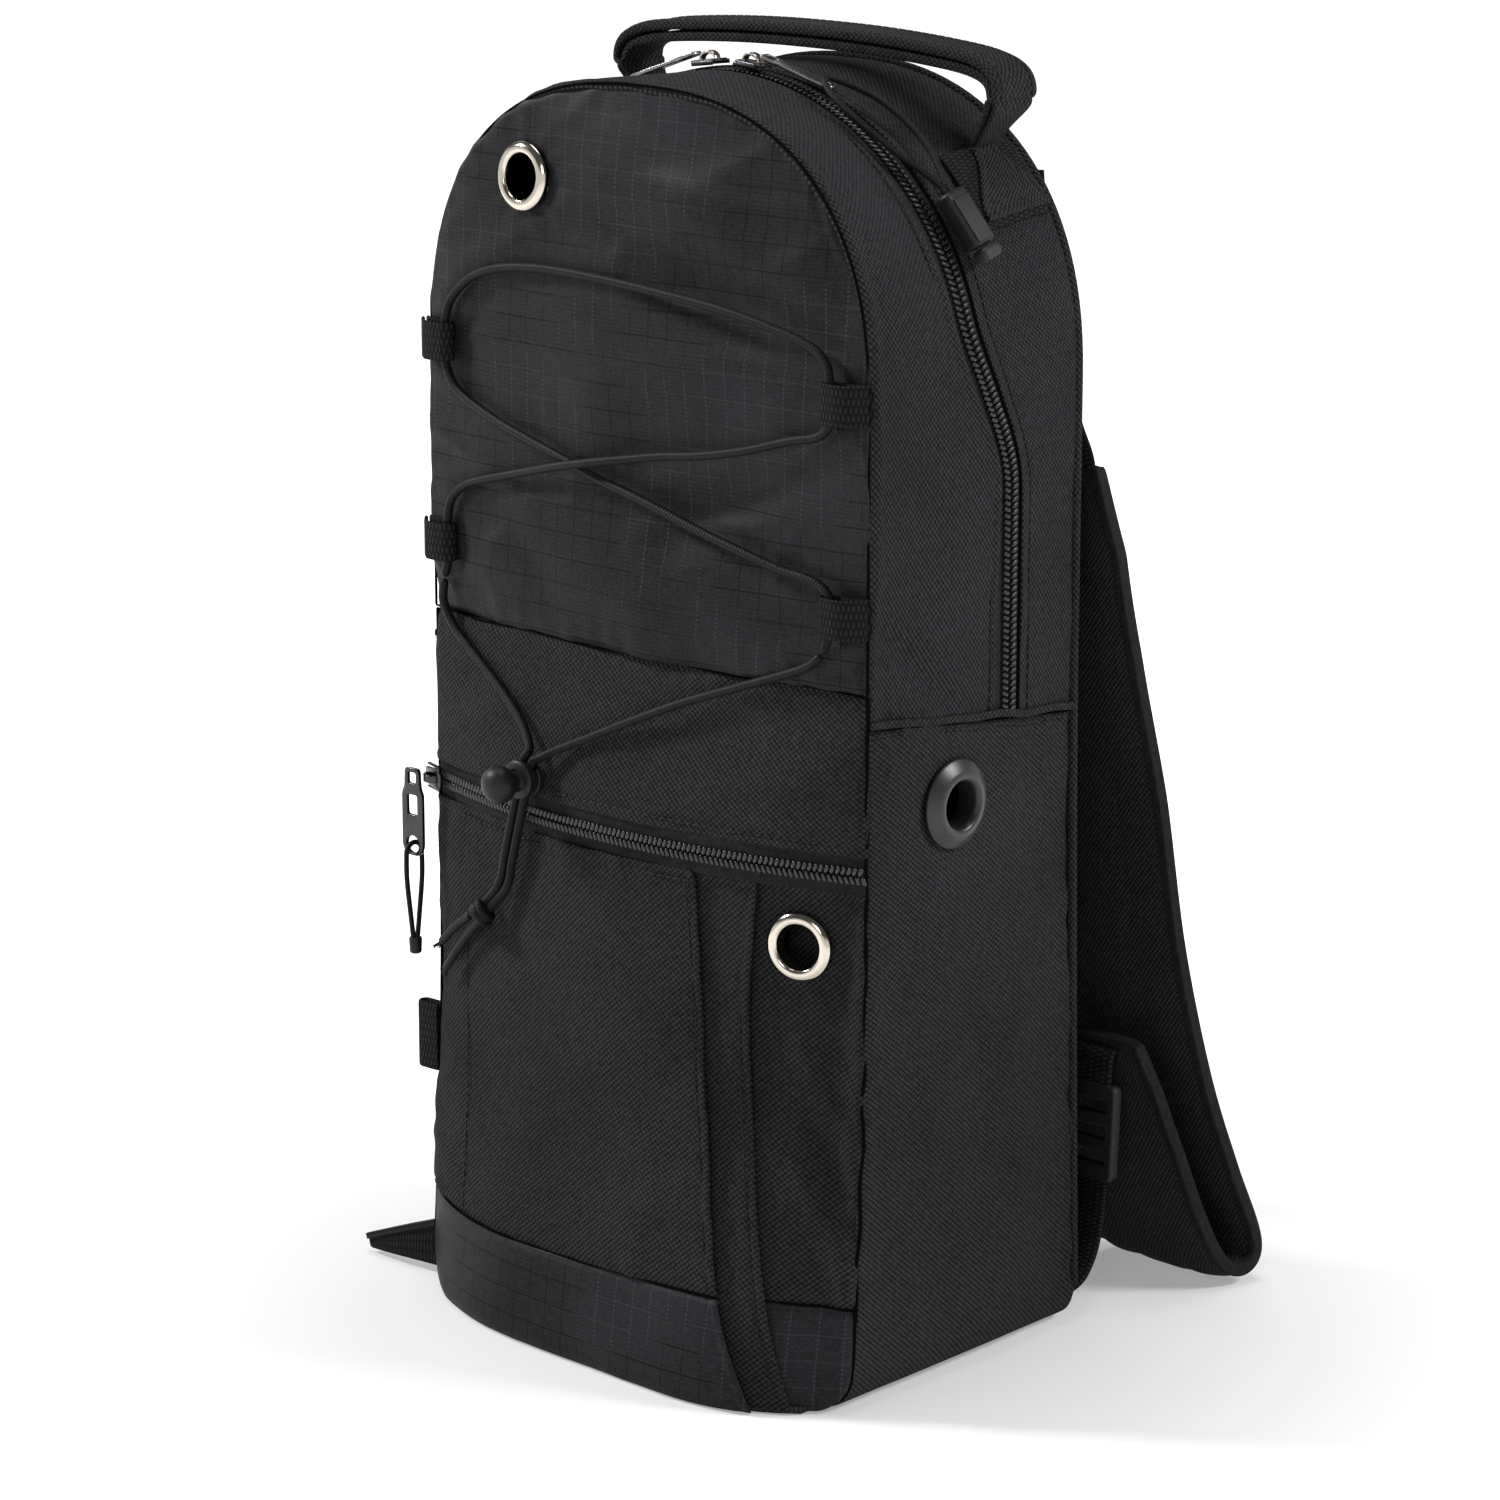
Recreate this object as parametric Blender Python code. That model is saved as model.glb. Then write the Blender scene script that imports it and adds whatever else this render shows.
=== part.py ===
"""A soft backpack that carries a portable oxygen cylinder, as an assembly of its sewn panels and hardware.

Frame: +Z up, the front faces -Y, +X is the wearer's left (the viewer's right), the back panel and straps are
at +Y. The origin is on the floor, at the centre of the base. Helper functions work in millimetres, and
MM turns their results into Blender's metres.
"""

import math

import bmesh
import bpy
from mathutils import Matrix, Vector

MM = 0.001

# Driving dimensions of the bag, in millimetres.
HALF_WIDTH = 97.5  # from the centre to either side seam
SPRING_Z = 327.0  # the sides are straight up to here, and arch above it
ARCH_RISE = 97.0  # from the spring line to the top of the bag
FRONT_SEAM_Y = -53.0  # front edge of the side strip
BACK_SEAM_Y = 51.0  # rear edge of the side strip
FRONT_FLARE = 7.0  # how far the front seam leans out at the floor
BACK_FLARE = 6.0  # how far the rear seam leans out at the floor
SIDE_BULGE = 2.0  # how far the filled sides stand out between their seams
CLOTH = 2.2  # thickness of a lined panel
GAP = 0.4  # clearance between neighbouring pieces
CORNER_R = 12.0  # rounded bottom corners, seen from the front

# Squareness of the arch, as the exponent of a superellipse, at the front, the zipper and the back.
ARCH_FRONT = 2.45
ARCH_ZIP = 2.0
ARCH_BACK = 2.3

# Heights of the seams.
LID_SEAM_Z = 239.0  # bottom of the ripstop lid panel
SIDE_SEAM_FRONT_Z = 230.0  # side seam where it meets the front
SIDE_SEAM_BACK_Z = 218.0  # side seam where it meets the back
POCKET_ZIP_Z = 180.0
POCKET_ZIP_HALF = 6.0  # half of the zipper's visible height
BAND_Z = 35.0  # top of the ripstop band along the bottom
BASE_T = 2.4  # thickness of the base panel

# Main zipper: it runs over the arch on a true circle, so that its sliders can turn about the arch's centre.
ZIP_ARCH_Y = -6.0
ZIP_SIDE_Y = 14.0
ZIP_TAPE = 7.0  # width of one tape
TAPE_T = 1.2

# How far the filled front stands out at its middle, by height.
CROWN = ((0.0, 28.0), (100.0, 22.0), (POCKET_ZIP_Z, 18.0), (LID_SEAM_Z, 8.0), (330.0, 6.0), (424.0, 6.0))

LACE_R = 1.5
POCKET_ARC_R = 273.0  # plan radius of the pocket's zipper
POCKET_ARC_Y = FRONT_SEAM_Y - 18.0 + POCKET_ARC_R


def smooth(t):
    t = min(1.0, max(0.0, t))
    return t * t * (3 - 2 * t)


def lerp(a, b, t):
    return a + (b - a) * t


def stepped(value, table):
    """Reads a table of (position, amount), easing from one row to the next."""
    for (start, a), (end, b) in zip(table, table[1:]):
        if value <= end:
            return lerp(a, b, smooth((value - start) / (end - start)))
    return table[-1][1]


def front_seam(z):
    return FRONT_SEAM_Y - FRONT_FLARE * max(0.0, 1 - z / 160.0) ** 2


def back_seam(z):
    return BACK_SEAM_Y + BACK_FLARE * max(0.0, 1 - z / 240.0) ** 1.5


def edge_share(x, z):
    """How near a point of the front is to its outline: 0 at the middle, 1 on the seam."""
    across = abs(x) / HALF_WIDTH
    if z <= SPRING_Z:
        return min(1.0, across)
    up = (z - SPRING_Z) / ARCH_RISE
    return min(1.0, (across**ARCH_FRONT + up**ARCH_FRONT) ** (1 / ARCH_FRONT))


def front(x, z, out=0.0):
    """The front's outer surface at (x, z), moved out by a distance."""
    share = edge_share(x, z)
    low = smooth((150.0 - z) / 150.0)
    fullness = (1 - low) * (1 - share**2) + low * (1 - share**4)
    skew = 1 + 0.2 * low * x / HALF_WIDTH
    return Vector((x, front_seam(z) - stepped(z, CROWN) * fullness * skew - out, z))


def front_half_width(z, squareness=ARCH_FRONT):
    """Half the width of the arch at a height, and less where the bottom corners are rounded."""
    if z > SPRING_Z:
        return HALF_WIDTH * max(0.0, 1 - ((z - SPRING_Z) / ARCH_RISE) ** squareness) ** (1 / squareness)
    if z < CORNER_R:
        return HALF_WIDTH - CORNER_R + math.sqrt(CORNER_R**2 - (CORNER_R - z) ** 2)
    return HALF_WIDTH


def squareness_at(y):
    if y < ZIP_ARCH_Y:
        return lerp(ARCH_FRONT, ARCH_ZIP, smooth((y - FRONT_SEAM_Y) / (ZIP_ARCH_Y - FRONT_SEAM_Y)))
    return lerp(ARCH_ZIP, ARCH_BACK, smooth((y - ZIP_ARCH_Y) / (BACK_SEAM_Y - ZIP_ARCH_Y)))


def zipper_y(z):
    """The main zipper keeps to one plane over the arch, then runs back as it comes down the sides."""
    return lerp(ZIP_ARCH_Y, ZIP_SIDE_Y, smooth((355.0 - z) / 60.0))


def arch_point(turn, y, out=0.0):
    """A point of the strip over the arch: turn 0 is the right spring line, 90 the top, 180 the left."""
    power = 2 / squareness_at(y)
    c, s = math.cos(math.radians(turn)), math.sin(math.radians(turn))
    bulge = SIDE_BULGE * math.sin(math.pi * (y - FRONT_SEAM_Y) / (BACK_SEAM_Y - FRONT_SEAM_Y)) * abs(c) + out
    x = math.copysign(abs(c) ** power, c) * HALF_WIDTH
    z = SPRING_Z + abs(s) ** power * ARCH_RISE
    return Vector((x + bulge * c, y, z + out * s))


def side_point(y, z, hand=1, out=0.0):
    """A point of a side: hand 1 is the right, -1 the left. Near the floor it curves under."""
    fullness = math.sin(math.pi * min(1.0, max(0.0, (y - FRONT_SEAM_Y) / (BACK_SEAM_Y - FRONT_SEAM_Y))))
    x = front_half_width(z) + SIDE_BULGE * fullness + out
    return Vector((hand * x, y, z))


def strip_point(p, y, low_z, out=0.0):
    """A point of the whole strip: p 0 is low_z on the right, 0.5 the top of the arch, 1 low_z on the left."""
    straight = 0.2
    if p < straight:
        return side_point(y, lerp(low_z, SPRING_Z, p / straight), 1, out)
    if p > 1 - straight:
        return side_point(y, lerp(low_z, SPRING_Z, (1 - p) / straight), -1, out)
    return arch_point(180 * (p - straight) / (1 - 2 * straight), y, out)


# ---------------------------------------------------------------- scene, materials and small builders


def clear_scene():
    for obj in list(bpy.data.objects):
        bpy.data.objects.remove(obj)
    for group in list(bpy.data.collections):
        bpy.data.collections.remove(group)


def new_collection(name):
    group = bpy.data.collections.new(name)
    bpy.context.scene.collection.children.link(group)
    return group


clear_scene()
BAG = new_collection("cylinder_backpack")
CUTTERS = new_collection("cutters")


def material(name, colour, roughness, metallic=0.0):
    found = bpy.data.materials.get(name)
    if found:
        return found
    made = bpy.data.materials.new(name)
    made.use_nodes = True
    shader = made.node_tree.nodes["Principled BSDF"]
    shader.inputs["Base Color"].default_value = (*colour, 1)
    shader.inputs["Roughness"].default_value = roughness
    shader.inputs["Metallic"].default_value = metallic
    return made


RIPSTOP = material("ripstop", (0.012, 0.012, 0.014), 0.55)
TWILL = material("twill", (0.016, 0.016, 0.018), 0.8)
WEBBING = material("webbing", (0.012, 0.012, 0.013), 0.75)
PADDING = material("padding", (0.014, 0.014, 0.016), 0.85)
FOAM = material("foam", (0.05, 0.05, 0.055), 0.95)
BOARD = material("board", (0.03, 0.03, 0.03), 0.6)
NICKEL = material("nickel", (0.75, 0.74, 0.72), 0.18, 1.0)
DARK_METAL = material("dark_metal", (0.03, 0.03, 0.032), 0.3, 1.0)
RUBBER = material("rubber", (0.03, 0.03, 0.035), 0.35)
PLASTIC = material("plastic", (0.02, 0.02, 0.022), 0.35)
GREY_PLASTIC = material("grey_plastic", (0.09, 0.09, 0.1), 0.45)
LACE = material("lace", (0.012, 0.012, 0.013), 0.7)
COIL = material("coil", (0.02, 0.02, 0.022), 0.4)


def add_object(name, mesh, finish, group=None):
    obj = bpy.data.objects.new(name, mesh)
    (group or BAG).objects.link(obj)
    if finish:
        mesh.materials.append(finish)
    return obj


def finish_mesh(bm, name, finish, group=None):
    """Turns a closed bmesh into an object whose faces point out."""
    bmesh.ops.recalc_face_normals(bm, faces=bm.faces)
    mesh = bpy.data.meshes.new(name)
    bm.to_mesh(mesh)
    bm.free()
    mesh.shade_smooth()
    mesh.set_sharp_from_angle(angle=math.radians(40))
    return add_object(name, mesh, finish, group)


def panel(name, place, across, along, finish, thickness=CLOTH):
    """A sewn panel: a grid laid on the bag's surface, where place(u, v, depth) gives a point that lies depth
    behind the outer face. The same grid at the panel's thickness closes its inner side."""
    bm = bmesh.new()
    layers = []
    for depth in (0.0, thickness):
        made = bmesh.ops.create_grid(bm, x_segments=across, y_segments=along, size=0.5)
        for vert in made["verts"]:
            vert.co = place(vert.co.x + 0.5, vert.co.y + 0.5, depth) * MM
        layers.append(made["verts"])
    rims = [edge for edge in bm.edges if edge.is_boundary]
    bmesh.ops.bridge_loops(bm, edges=rims)
    return finish_mesh(bm, name, finish)


def ribbon(name, points, normals, width, thickness, finish):
    """A flat band along a route. Each normal points out of the band's upper face."""
    bm = bmesh.new()
    rings = []
    last = len(points) - 1
    for i, (point, normal) in enumerate(zip(points, normals)):
        forward = (points[min(last, i + 1)] - points[max(0, i - 1)]).normalized()
        up = (normal - forward * normal.dot(forward)).normalized()
        side = forward.cross(up)
        half_w = (width[i] if isinstance(width, (list, tuple)) else width) / 2
        half_t = (thickness[i] if isinstance(thickness, (list, tuple)) else thickness) / 2
        bevel = min(half_w, half_t) * 0.5
        corners = (
            (half_w, half_t - bevel),
            (half_w - bevel, half_t),
            (-half_w + bevel, half_t),
            (-half_w, half_t - bevel),
            (-half_w, bevel - half_t),
            (bevel - half_w, -half_t),
            (half_w - bevel, -half_t),
            (half_w, bevel - half_t),
        )
        rings.append([bm.verts.new((point + side * a + up * b) * MM) for a, b in corners])
    for one, two in zip(rings, rings[1:]):
        for k in range(8):
            bm.faces.new((one[k], one[(k + 1) % 8], two[(k + 1) % 8], two[k]))
    bm.faces.new(rings[0])
    bm.faces.new(reversed(rings[-1]))
    return finish_mesh(bm, name, finish)


def through(points, steps):
    """Points of a smooth curve through a route's own points (Catmull-Rom)."""
    ends = [points[0] * 2 - points[1], *points, points[-1] * 2 - points[-2]]
    found = []
    for a, b, c, d in zip(ends, ends[1:], ends[2:], ends[3:]):
        for k in range(steps):
            t = k / steps
            found.append(
                0.5 * (2 * b + (c - a) * t + (2 * a - 5 * b + 4 * c - d) * t**2 + (3 * b - a - 3 * c + d) * t**3)
            )
    found.append(points[-1].copy())
    return found


def cord(name, points, radius, finish, sides=2):
    """A round cord along its points, as a poly curve with filled caps."""
    curve = bpy.data.curves.new(name, "CURVE")
    curve.dimensions = "3D"
    curve.bevel_depth = radius * MM
    curve.bevel_resolution = sides
    curve.use_fill_caps = True
    spline = curve.splines.new("POLY")
    spline.points.add(len(points) - 1)
    for target, point in zip(spline.points, points):
        target.co = (*(point * MM), 1)
    curve.materials.append(finish)
    obj = bpy.data.objects.new(name, curve)
    BAG.objects.link(obj)
    return obj


def as_mesh(obj):
    """Turns a curve object into a closed mesh object that a Boolean can take."""
    bpy.context.view_layer.update()
    mesh = bpy.data.meshes.new_from_object(obj.evaluated_get(bpy.context.evaluated_depsgraph_get()))
    name, finish = obj.name, obj.data.materials[0]
    bpy.data.objects.remove(obj)
    bm = bmesh.new()
    bm.from_mesh(mesh)
    bmesh.ops.remove_doubles(bm, verts=bm.verts, dist=0.00001)
    bpy.data.meshes.remove(mesh)
    return finish_mesh(bm, name, finish)


def facing(place, direction, roll=0.0):
    """A matrix that stands a shape at place with its +Z along direction."""
    turn = direction.to_track_quat("Z", "Y").to_matrix().to_4x4()
    return Matrix.Translation(place * MM) @ turn @ Matrix.Rotation(roll, 4, "Z")


def turned(name, profile, place, direction, finish, steps=24):
    """A turned ring or knob: a closed profile of (radius, height) spun about an axis."""
    bm = bmesh.new()
    rings = []
    for k in range(steps):
        angle = 2 * math.pi * k / steps
        spin = Matrix.Rotation(angle, 3, "Z")
        rings.append([bm.verts.new(spin @ Vector((r, 0, h)) * MM) for r, h in profile])
    count = len(profile)
    for k in range(steps):
        one, two = rings[k], rings[(k + 1) % steps]
        for j in range(count):
            bm.faces.new((one[j], one[(j + 1) % count], two[(j + 1) % count], two[j]))
    bmesh.ops.transform(bm, matrix=facing(place, direction), verts=bm.verts)
    return finish_mesh(bm, name, finish)


def solid_turned(name, profile, place, direction, finish, steps=20):
    """A turned solid with no bore: its profile starts and ends on the axis."""
    bm = bmesh.new()
    verts = [bm.verts.new((r * MM, 0, h * MM)) for r, h in profile]
    edges = [bm.edges.new(pair) for pair in zip(verts, verts[1:])]
    bmesh.ops.spin(
        bm, geom=verts + edges, axis=(0, 0, 1), cent=(0, 0, 0), angle=2 * math.pi, steps=steps, use_duplicate=False
    )
    bmesh.ops.remove_doubles(bm, verts=bm.verts, dist=0.00001)
    bmesh.ops.transform(bm, matrix=facing(place, direction), verts=bm.verts)
    return finish_mesh(bm, name, finish)


def block(name, size, place, turn, finish, bevel=0.6, group=None):
    """A bevelled box of the given size, with turn as its rotation matrix."""
    bm = bmesh.new()
    bmesh.ops.create_cube(bm, size=1.0, matrix=Matrix.Diagonal((*(Vector(size) * MM), 1)))
    if bevel:
        bmesh.ops.bevel(bm, geom=bm.edges[:] + bm.verts[:], offset=bevel * MM, segments=1, affect="EDGES", profile=0.5)
    bmesh.ops.transform(bm, matrix=Matrix.Translation(place * MM) @ turn.to_4x4(), verts=bm.verts)
    return finish_mesh(bm, name, finish, group)


def frame_from(along, normal):
    """A rotation whose X runs along, and whose Z is as near the normal as it can be."""
    x = along.normalized()
    z = (normal - x * normal.dot(x)).normalized()
    return Matrix((x, z.cross(x), z)).transposed()


def cut(obj, cutter):
    """Cuts a helper's volume out of a piece."""
    cutter.hide_render = True
    cutter.display_type = "WIRE"
    modifier = obj.modifiers.new("cut_" + cutter.name, "BOOLEAN")
    modifier.operation = "DIFFERENCE"
    modifier.object = cutter


def join(obj, helper):
    """Unites a helper's volume with a piece, which becomes one body."""
    CUTTERS.objects.link(helper)
    BAG.objects.unlink(helper)
    helper.hide_render = True
    helper.display_type = "WIRE"
    modifier = obj.modifiers.new("join_" + helper.name, "BOOLEAN")
    modifier.operation = "UNION"
    modifier.object = helper


def round_cutter(name, radius, place, direction, depth=14.0):
    bm = bmesh.new()
    bmesh.ops.create_cone(
        bm, cap_ends=True, segments=24, radius1=radius * MM, radius2=radius * MM, depth=depth * MM,
        matrix=facing(place, direction),
    )
    return finish_mesh(bm, name, None, CUTTERS)


def cut_round(obj, radius, place, direction):
    cut(obj, round_cutter(obj.name + "_hole", radius, place, direction))


# ---------------------------------------------------------------- sewn panels


def side_seam(y):
    """Height of the horizontal seam on each side, which drops a little towards the back."""
    return lerp(SIDE_SEAM_FRONT_Z, SIDE_SEAM_BACK_Z, (y - FRONT_SEAM_Y) / (BACK_SEAM_Y - FRONT_SEAM_Y))


def floor_edge(x, floor_z):
    """Lower edge of an upright panel, which follows the rounded bottom corner."""
    inside = abs(x) - (HALF_WIDTH - CORNER_R)
    if inside <= 0:
        return floor_z
    return max(floor_z, CORNER_R - math.sqrt(max(0.0, CORNER_R**2 - inside**2)))


def arch_height(x, squareness, rise=ARCH_RISE):
    share = min(1.0, abs(x) / HALF_WIDTH)
    return SPRING_Z + rise * (1 - share**squareness) ** (1 / squareness)


def front_panel(name, left, right, low, high, finish, behind=0.0, across=12, along=6, thickness=CLOTH):
    """A panel on the bag's front. left and right give its edges by height, low and high by x, and behind is
    how far it lies under the outermost cloth, which may be a function of x."""

    def place(u, v, depth):
        middle = (low(0) + high(0)) / 2
        x = lerp(left(middle), right(middle), u)
        for _ in range(3):
            z = lerp(low(x), high(x), v)
            x = lerp(left(z), right(z), u)
        back = behind(x) if callable(behind) else behind
        return front(x, z) + Vector((0, back + depth, 0))

    return panel(name, place, across, along, finish, thickness)


def build_lid_panel():
    def place(u, v, depth):
        x = HALF_WIDTH * math.sin((u - 0.5) * math.pi)
        z = lerp(LID_SEAM_Z + GAP / 2, arch_height(x, ARCH_FRONT), v)
        return front(x, z) + Vector((0, depth, 0))

    obj = panel("lid_front_panel", place, 16, 9, RIPSTOP)
    cut_round(obj, EYELET_BORE + 1.6, front(*UPPER_EYELET), front_normal(*UPPER_EYELET))


def front_normal(x, z):
    step = 1.0
    across = front(x + step, z) - front(x - step, z)
    upward = front(x, z + step) - front(x, z - step)
    return across.cross(upward).normalized()


def strip_panel(name, first_y, last_y, finish, along=3, thickness=CLOTH, recess=0.0, around=28):
    """A panel of the arched strip, between two depths that are given by height."""

    def place(u, v, depth):
        guide = strip_point(u, ZIP_ARCH_Y, SIDE_SEAM_BACK_Z + GAP / 2)
        y = lerp(first_y(guide.z), last_y(guide.z), v)
        return strip_point(u, y, side_seam(y) + GAP / 2, -depth - recess)

    return panel(name, place, around, along, finish, thickness)


def build_strip():
    def behind_front(z):
        return front_seam(z) + CLOTH + GAP

    def before_back(z):
        return back_seam(z) - CLOTH - GAP

    half_gap = 0.2
    strip_panel("lid_gusset", behind_front, lambda z: zipper_y(z) - ZIP_TAPE - half_gap, TWILL)
    strip_panel(
        "main_zip_front_tape", lambda z: zipper_y(z) - ZIP_TAPE + half_gap, lambda z: zipper_y(z) - half_gap,
        COIL, 1, TAPE_T, 0.3,
    )
    strip_panel(
        "main_zip_rear_tape", lambda z: zipper_y(z) + half_gap, lambda z: zipper_y(z) + ZIP_TAPE - half_gap,
        COIL, 1, TAPE_T, 0.3,
    )
    strip_panel("rear_gusset", lambda z: zipper_y(z) + ZIP_TAPE + half_gap, before_back, TWILL)


def build_side(name, hand):
    """A lower side panel. Its lower edge curves under the bag on the bottom corner's radius."""
    curl = 0.2
    lowest = math.radians(-78)

    def place(u, v, depth):
        if v < curl:
            turn = lerp(lowest, 0, v / curl)
            z = CORNER_R + (CORNER_R - depth) * math.sin(turn)
            x = HALF_WIDTH - CORNER_R + (CORNER_R - depth) * math.cos(turn)
            rise = 0.0
        else:
            x = HALF_WIDTH - depth
            rise = (v - curl) / (1 - curl)
            z = None
        if z is None:
            seam_y = lerp(FRONT_SEAM_Y + CLOTH + GAP, BACK_SEAM_Y - CLOTH - GAP, u)
            z = lerp(CORNER_R, side_seam(seam_y) - GAP / 2, rise)
        y = lerp(front_seam(z) + CLOTH + GAP, back_seam(z) - CLOTH - GAP, u)
        x += SIDE_BULGE * math.sin(math.pi * u) * smooth(rise * 4)
        return Vector((hand * x, y, z))

    obj = panel(name, place, 8, 12, TWILL)
    if hand > 0:
        cut_round(obj, GLAND_BORE + 1.8, GLAND_PLACE, Vector((1, 0, 0)))


def footprint(inset, front_z=1.0, steps=14):
    """The base's outline, seen from above: straight at the back and sides, crowned at the front."""
    half = HALF_WIDTH - CORNER_R - inset
    outline = [Vector((half, back_seam(0) - inset - 0.5, 0)), Vector((-half, back_seam(0) - inset - 0.5, 0))]
    for k in range(steps + 1):
        x = lerp(-half, half, k / steps)
        outline.append(Vector((x, front(x, front_z).y + inset + 0.5, 0)))
    return outline


def slab(name, outline, low, high, finish):
    """A flat plate with the given outline."""
    bm = bmesh.new()
    face = bm.faces.new([bm.verts.new((p.x * MM, p.y * MM, low * MM)) for p in outline])
    made = bmesh.ops.extrude_face_region(bm, geom=[face])
    raised = [item for item in made["geom"] if isinstance(item, bmesh.types.BMVert)]
    bmesh.ops.translate(bm, vec=(0, 0, (high - low) * MM), verts=raised)
    return finish_mesh(bm, name, finish)


def build_shell():
    build_lid_panel()
    build_strip()
    build_side("side_panel_right", 1)
    build_side("side_panel_left", -1)

    def back_place(u, v, depth):
        x = HALF_WIDTH * math.sin((u - 0.5) * math.pi)
        z = lerp(floor_edge(x, BASE_T + GAP), arch_height(x, ARCH_BACK), v)
        return Vector((x, back_seam(z) - depth, z))

    panel("back_panel", back_place, 14, 10, TWILL)
    slab("base_panel", footprint(0.0), 0.0, BASE_T, TWILL)
    # The stiff board rests on the base, inside the walls.
    board = [Vector((x * 80.0, y, 0)) for x, y in ((1, 52), (-1, 52), (-1, -45), (1, -45))]
    slab("base_board", board, BASE_T + GAP, BASE_T + GAP + 3.0, BOARD)

    def wall_place(u, v, depth):
        z = lerp(BASE_T + 4.6, LID_SEAM_Z - 4.0, v)
        return Vector((lerp(-93.5, 93.5, u), front_seam(z) + 6.0 + depth, z))

    panel("pocket_back_wall", wall_place, 2, 6, TWILL, 1.6)


# ---------------------------------------------------------------- front pocket

# Free edges of the two overlapping flaps, as (height, x).
FIRST_FLAP = ((2.0, 73.0), (36.0, 58.4), (99.0, 45.6), (138.0, 41.0), (174.0, 36.4))
SECOND_FLAP = ((2.0, 83.0), (32.0, 74.0), (76.0, 64.0), (131.0, 57.5), (174.0, 58.5))
FLAP_LAP = 13.0  # how far one flap runs under the next
LAYER = CLOTH + GAP


def flap_edge(table):
    return lambda z: stepped(z, table)


def under_two(x):
    """The pocket's side panel lies under both flaps, and comes back out to the side seam."""
    return 2 * LAYER * smooth((HALF_WIDTH - x) / 12.0)


def build_pocket():
    first, second = flap_edge(FIRST_FLAP), flap_edge(SECOND_FLAP)
    tape_low = POCKET_ZIP_Z - POCKET_ZIP_HALF
    tape_high = POCKET_ZIP_Z + POCKET_ZIP_HALF

    def left_edge(z):
        return -HALF_WIDTH

    def right_edge(z):
        return HALF_WIDTH

    def floor_line(x):
        return floor_edge(x, BASE_T + GAP)

    def band_top(x):
        return BAND_Z

    def above_band(x):
        return BAND_Z + GAP

    def below_zip(x):
        return tape_low - GAP

    front_panel("pocket_panel", left_edge, first, above_band, below_zip, TWILL, 0.0, 12, 8)
    front_panel("pocket_band", left_edge, first, floor_line, band_top, RIPSTOP, 0.0, 14, 4)
    front_panel(
        "pocket_inner_flap", lambda z: first(z) - FLAP_LAP, second, floor_line, below_zip, TWILL, LAYER, 4, 10
    )
    side = front_panel(
        "pocket_side_panel", lambda z: second(z) - FLAP_LAP, right_edge, above_band, below_zip, TWILL, under_two, 6, 8
    )
    x, z = LOWER_EYELET
    cut_round(side, EYELET_BORE + 1.6, lower_eyelet_place(), front_normal(x, z))
    front_panel(
        "pocket_side_band", lambda z: second(z) - FLAP_LAP, right_edge, floor_line, band_top, RIPSTOP, under_two, 6, 4
    )
    # The band stays inside the lid's gusset, whose front edge swings past it when the lid opens.
    band_half = HALF_WIDTH - CLOTH - GAP
    front_panel(
        "front_band", lambda z: -band_half, lambda z: band_half, lambda x: tape_high + GAP,
        lambda x: LID_SEAM_Z - GAP / 2, TWILL,
    )
    for name, low, high in (
        ("pocket_zip_lower_tape", tape_low, POCKET_ZIP_Z - 0.2),
        ("pocket_zip_upper_tape", POCKET_ZIP_Z + 0.2, tape_high),
    ):
        front_panel(
            name, left_edge, right_edge, lambda x, low=low: low, lambda x, high=high: high, COIL, 0.3, 14, 1, TAPE_T
        )


# ---------------------------------------------------------------- eyelets and the tube grommet

EYELET_BORE = 7.2
EYELET_R = 12.0
UPPER_EYELET = (-50.0, 390.0)
LOWER_EYELET = (72.0, 153.0)
GLAND_BORE = 7.6
GLAND_R = 15.0
GLAND_PLACE = Vector((HALF_WIDTH + SIDE_BULGE, -13.0, 197.0))


def lower_eyelet_place():
    x, z = LOWER_EYELET
    return front(x, z) + Vector((0, under_two(x), 0))


def eyelet(name, place, normal):
    """A pressed metal eyelet: a domed flange outside, a barrel through the cloth, and a washer inside."""
    wall = 1.0
    flange = [
        (EYELET_BORE, 1.1), (EYELET_BORE + 1.0, 1.9), (EYELET_R - 1.6, 1.7), (EYELET_R, 0.9), (EYELET_R - 0.3, 0.5),
        (EYELET_BORE + wall, 0.5), (EYELET_BORE + wall, -4.0), (EYELET_BORE, -4.0),
    ]
    turned(name, flange, place, normal, NICKEL)
    washer = [(EYELET_BORE + 1.5, -2.9), (EYELET_R, -2.9), (EYELET_R, -3.7), (EYELET_BORE + 1.5, -3.7)]
    turned(name + "_washer", washer, place, normal, NICKEL)


def build_eyelets():
    eyelet("upper_eyelet", front(*UPPER_EYELET), front_normal(*UPPER_EYELET))
    x, z = LOWER_EYELET
    eyelet("lower_eyelet", lower_eyelet_place(), front_normal(x, z))
    outer = [
        (GLAND_BORE, 0.6), (GLAND_BORE + 0.3, 3.4), (GLAND_BORE + 2.4, 4.2), (GLAND_R - 2.2, 3.0), (GLAND_R, 1.2),
        (GLAND_R - 0.2, 0.5), (GLAND_BORE + 1.4, 0.5), (GLAND_BORE + 1.4, -4.8), (GLAND_BORE, -4.8),
    ]
    turned("tube_grommet", outer, GLAND_PLACE, Vector((1, 0, 0)), RUBBER, 28)
    ring = [(GLAND_BORE + 1.8, -2.9), (GLAND_R - 1, -2.9), (GLAND_R - 1, -4.4), (GLAND_BORE + 1.8, -4.4)]
    turned("tube_grommet_ring", ring, GLAND_PLACE, Vector((1, 0, 0)), RUBBER, 24)


# ---------------------------------------------------------------- lace, its loops and the cord lock

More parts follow.
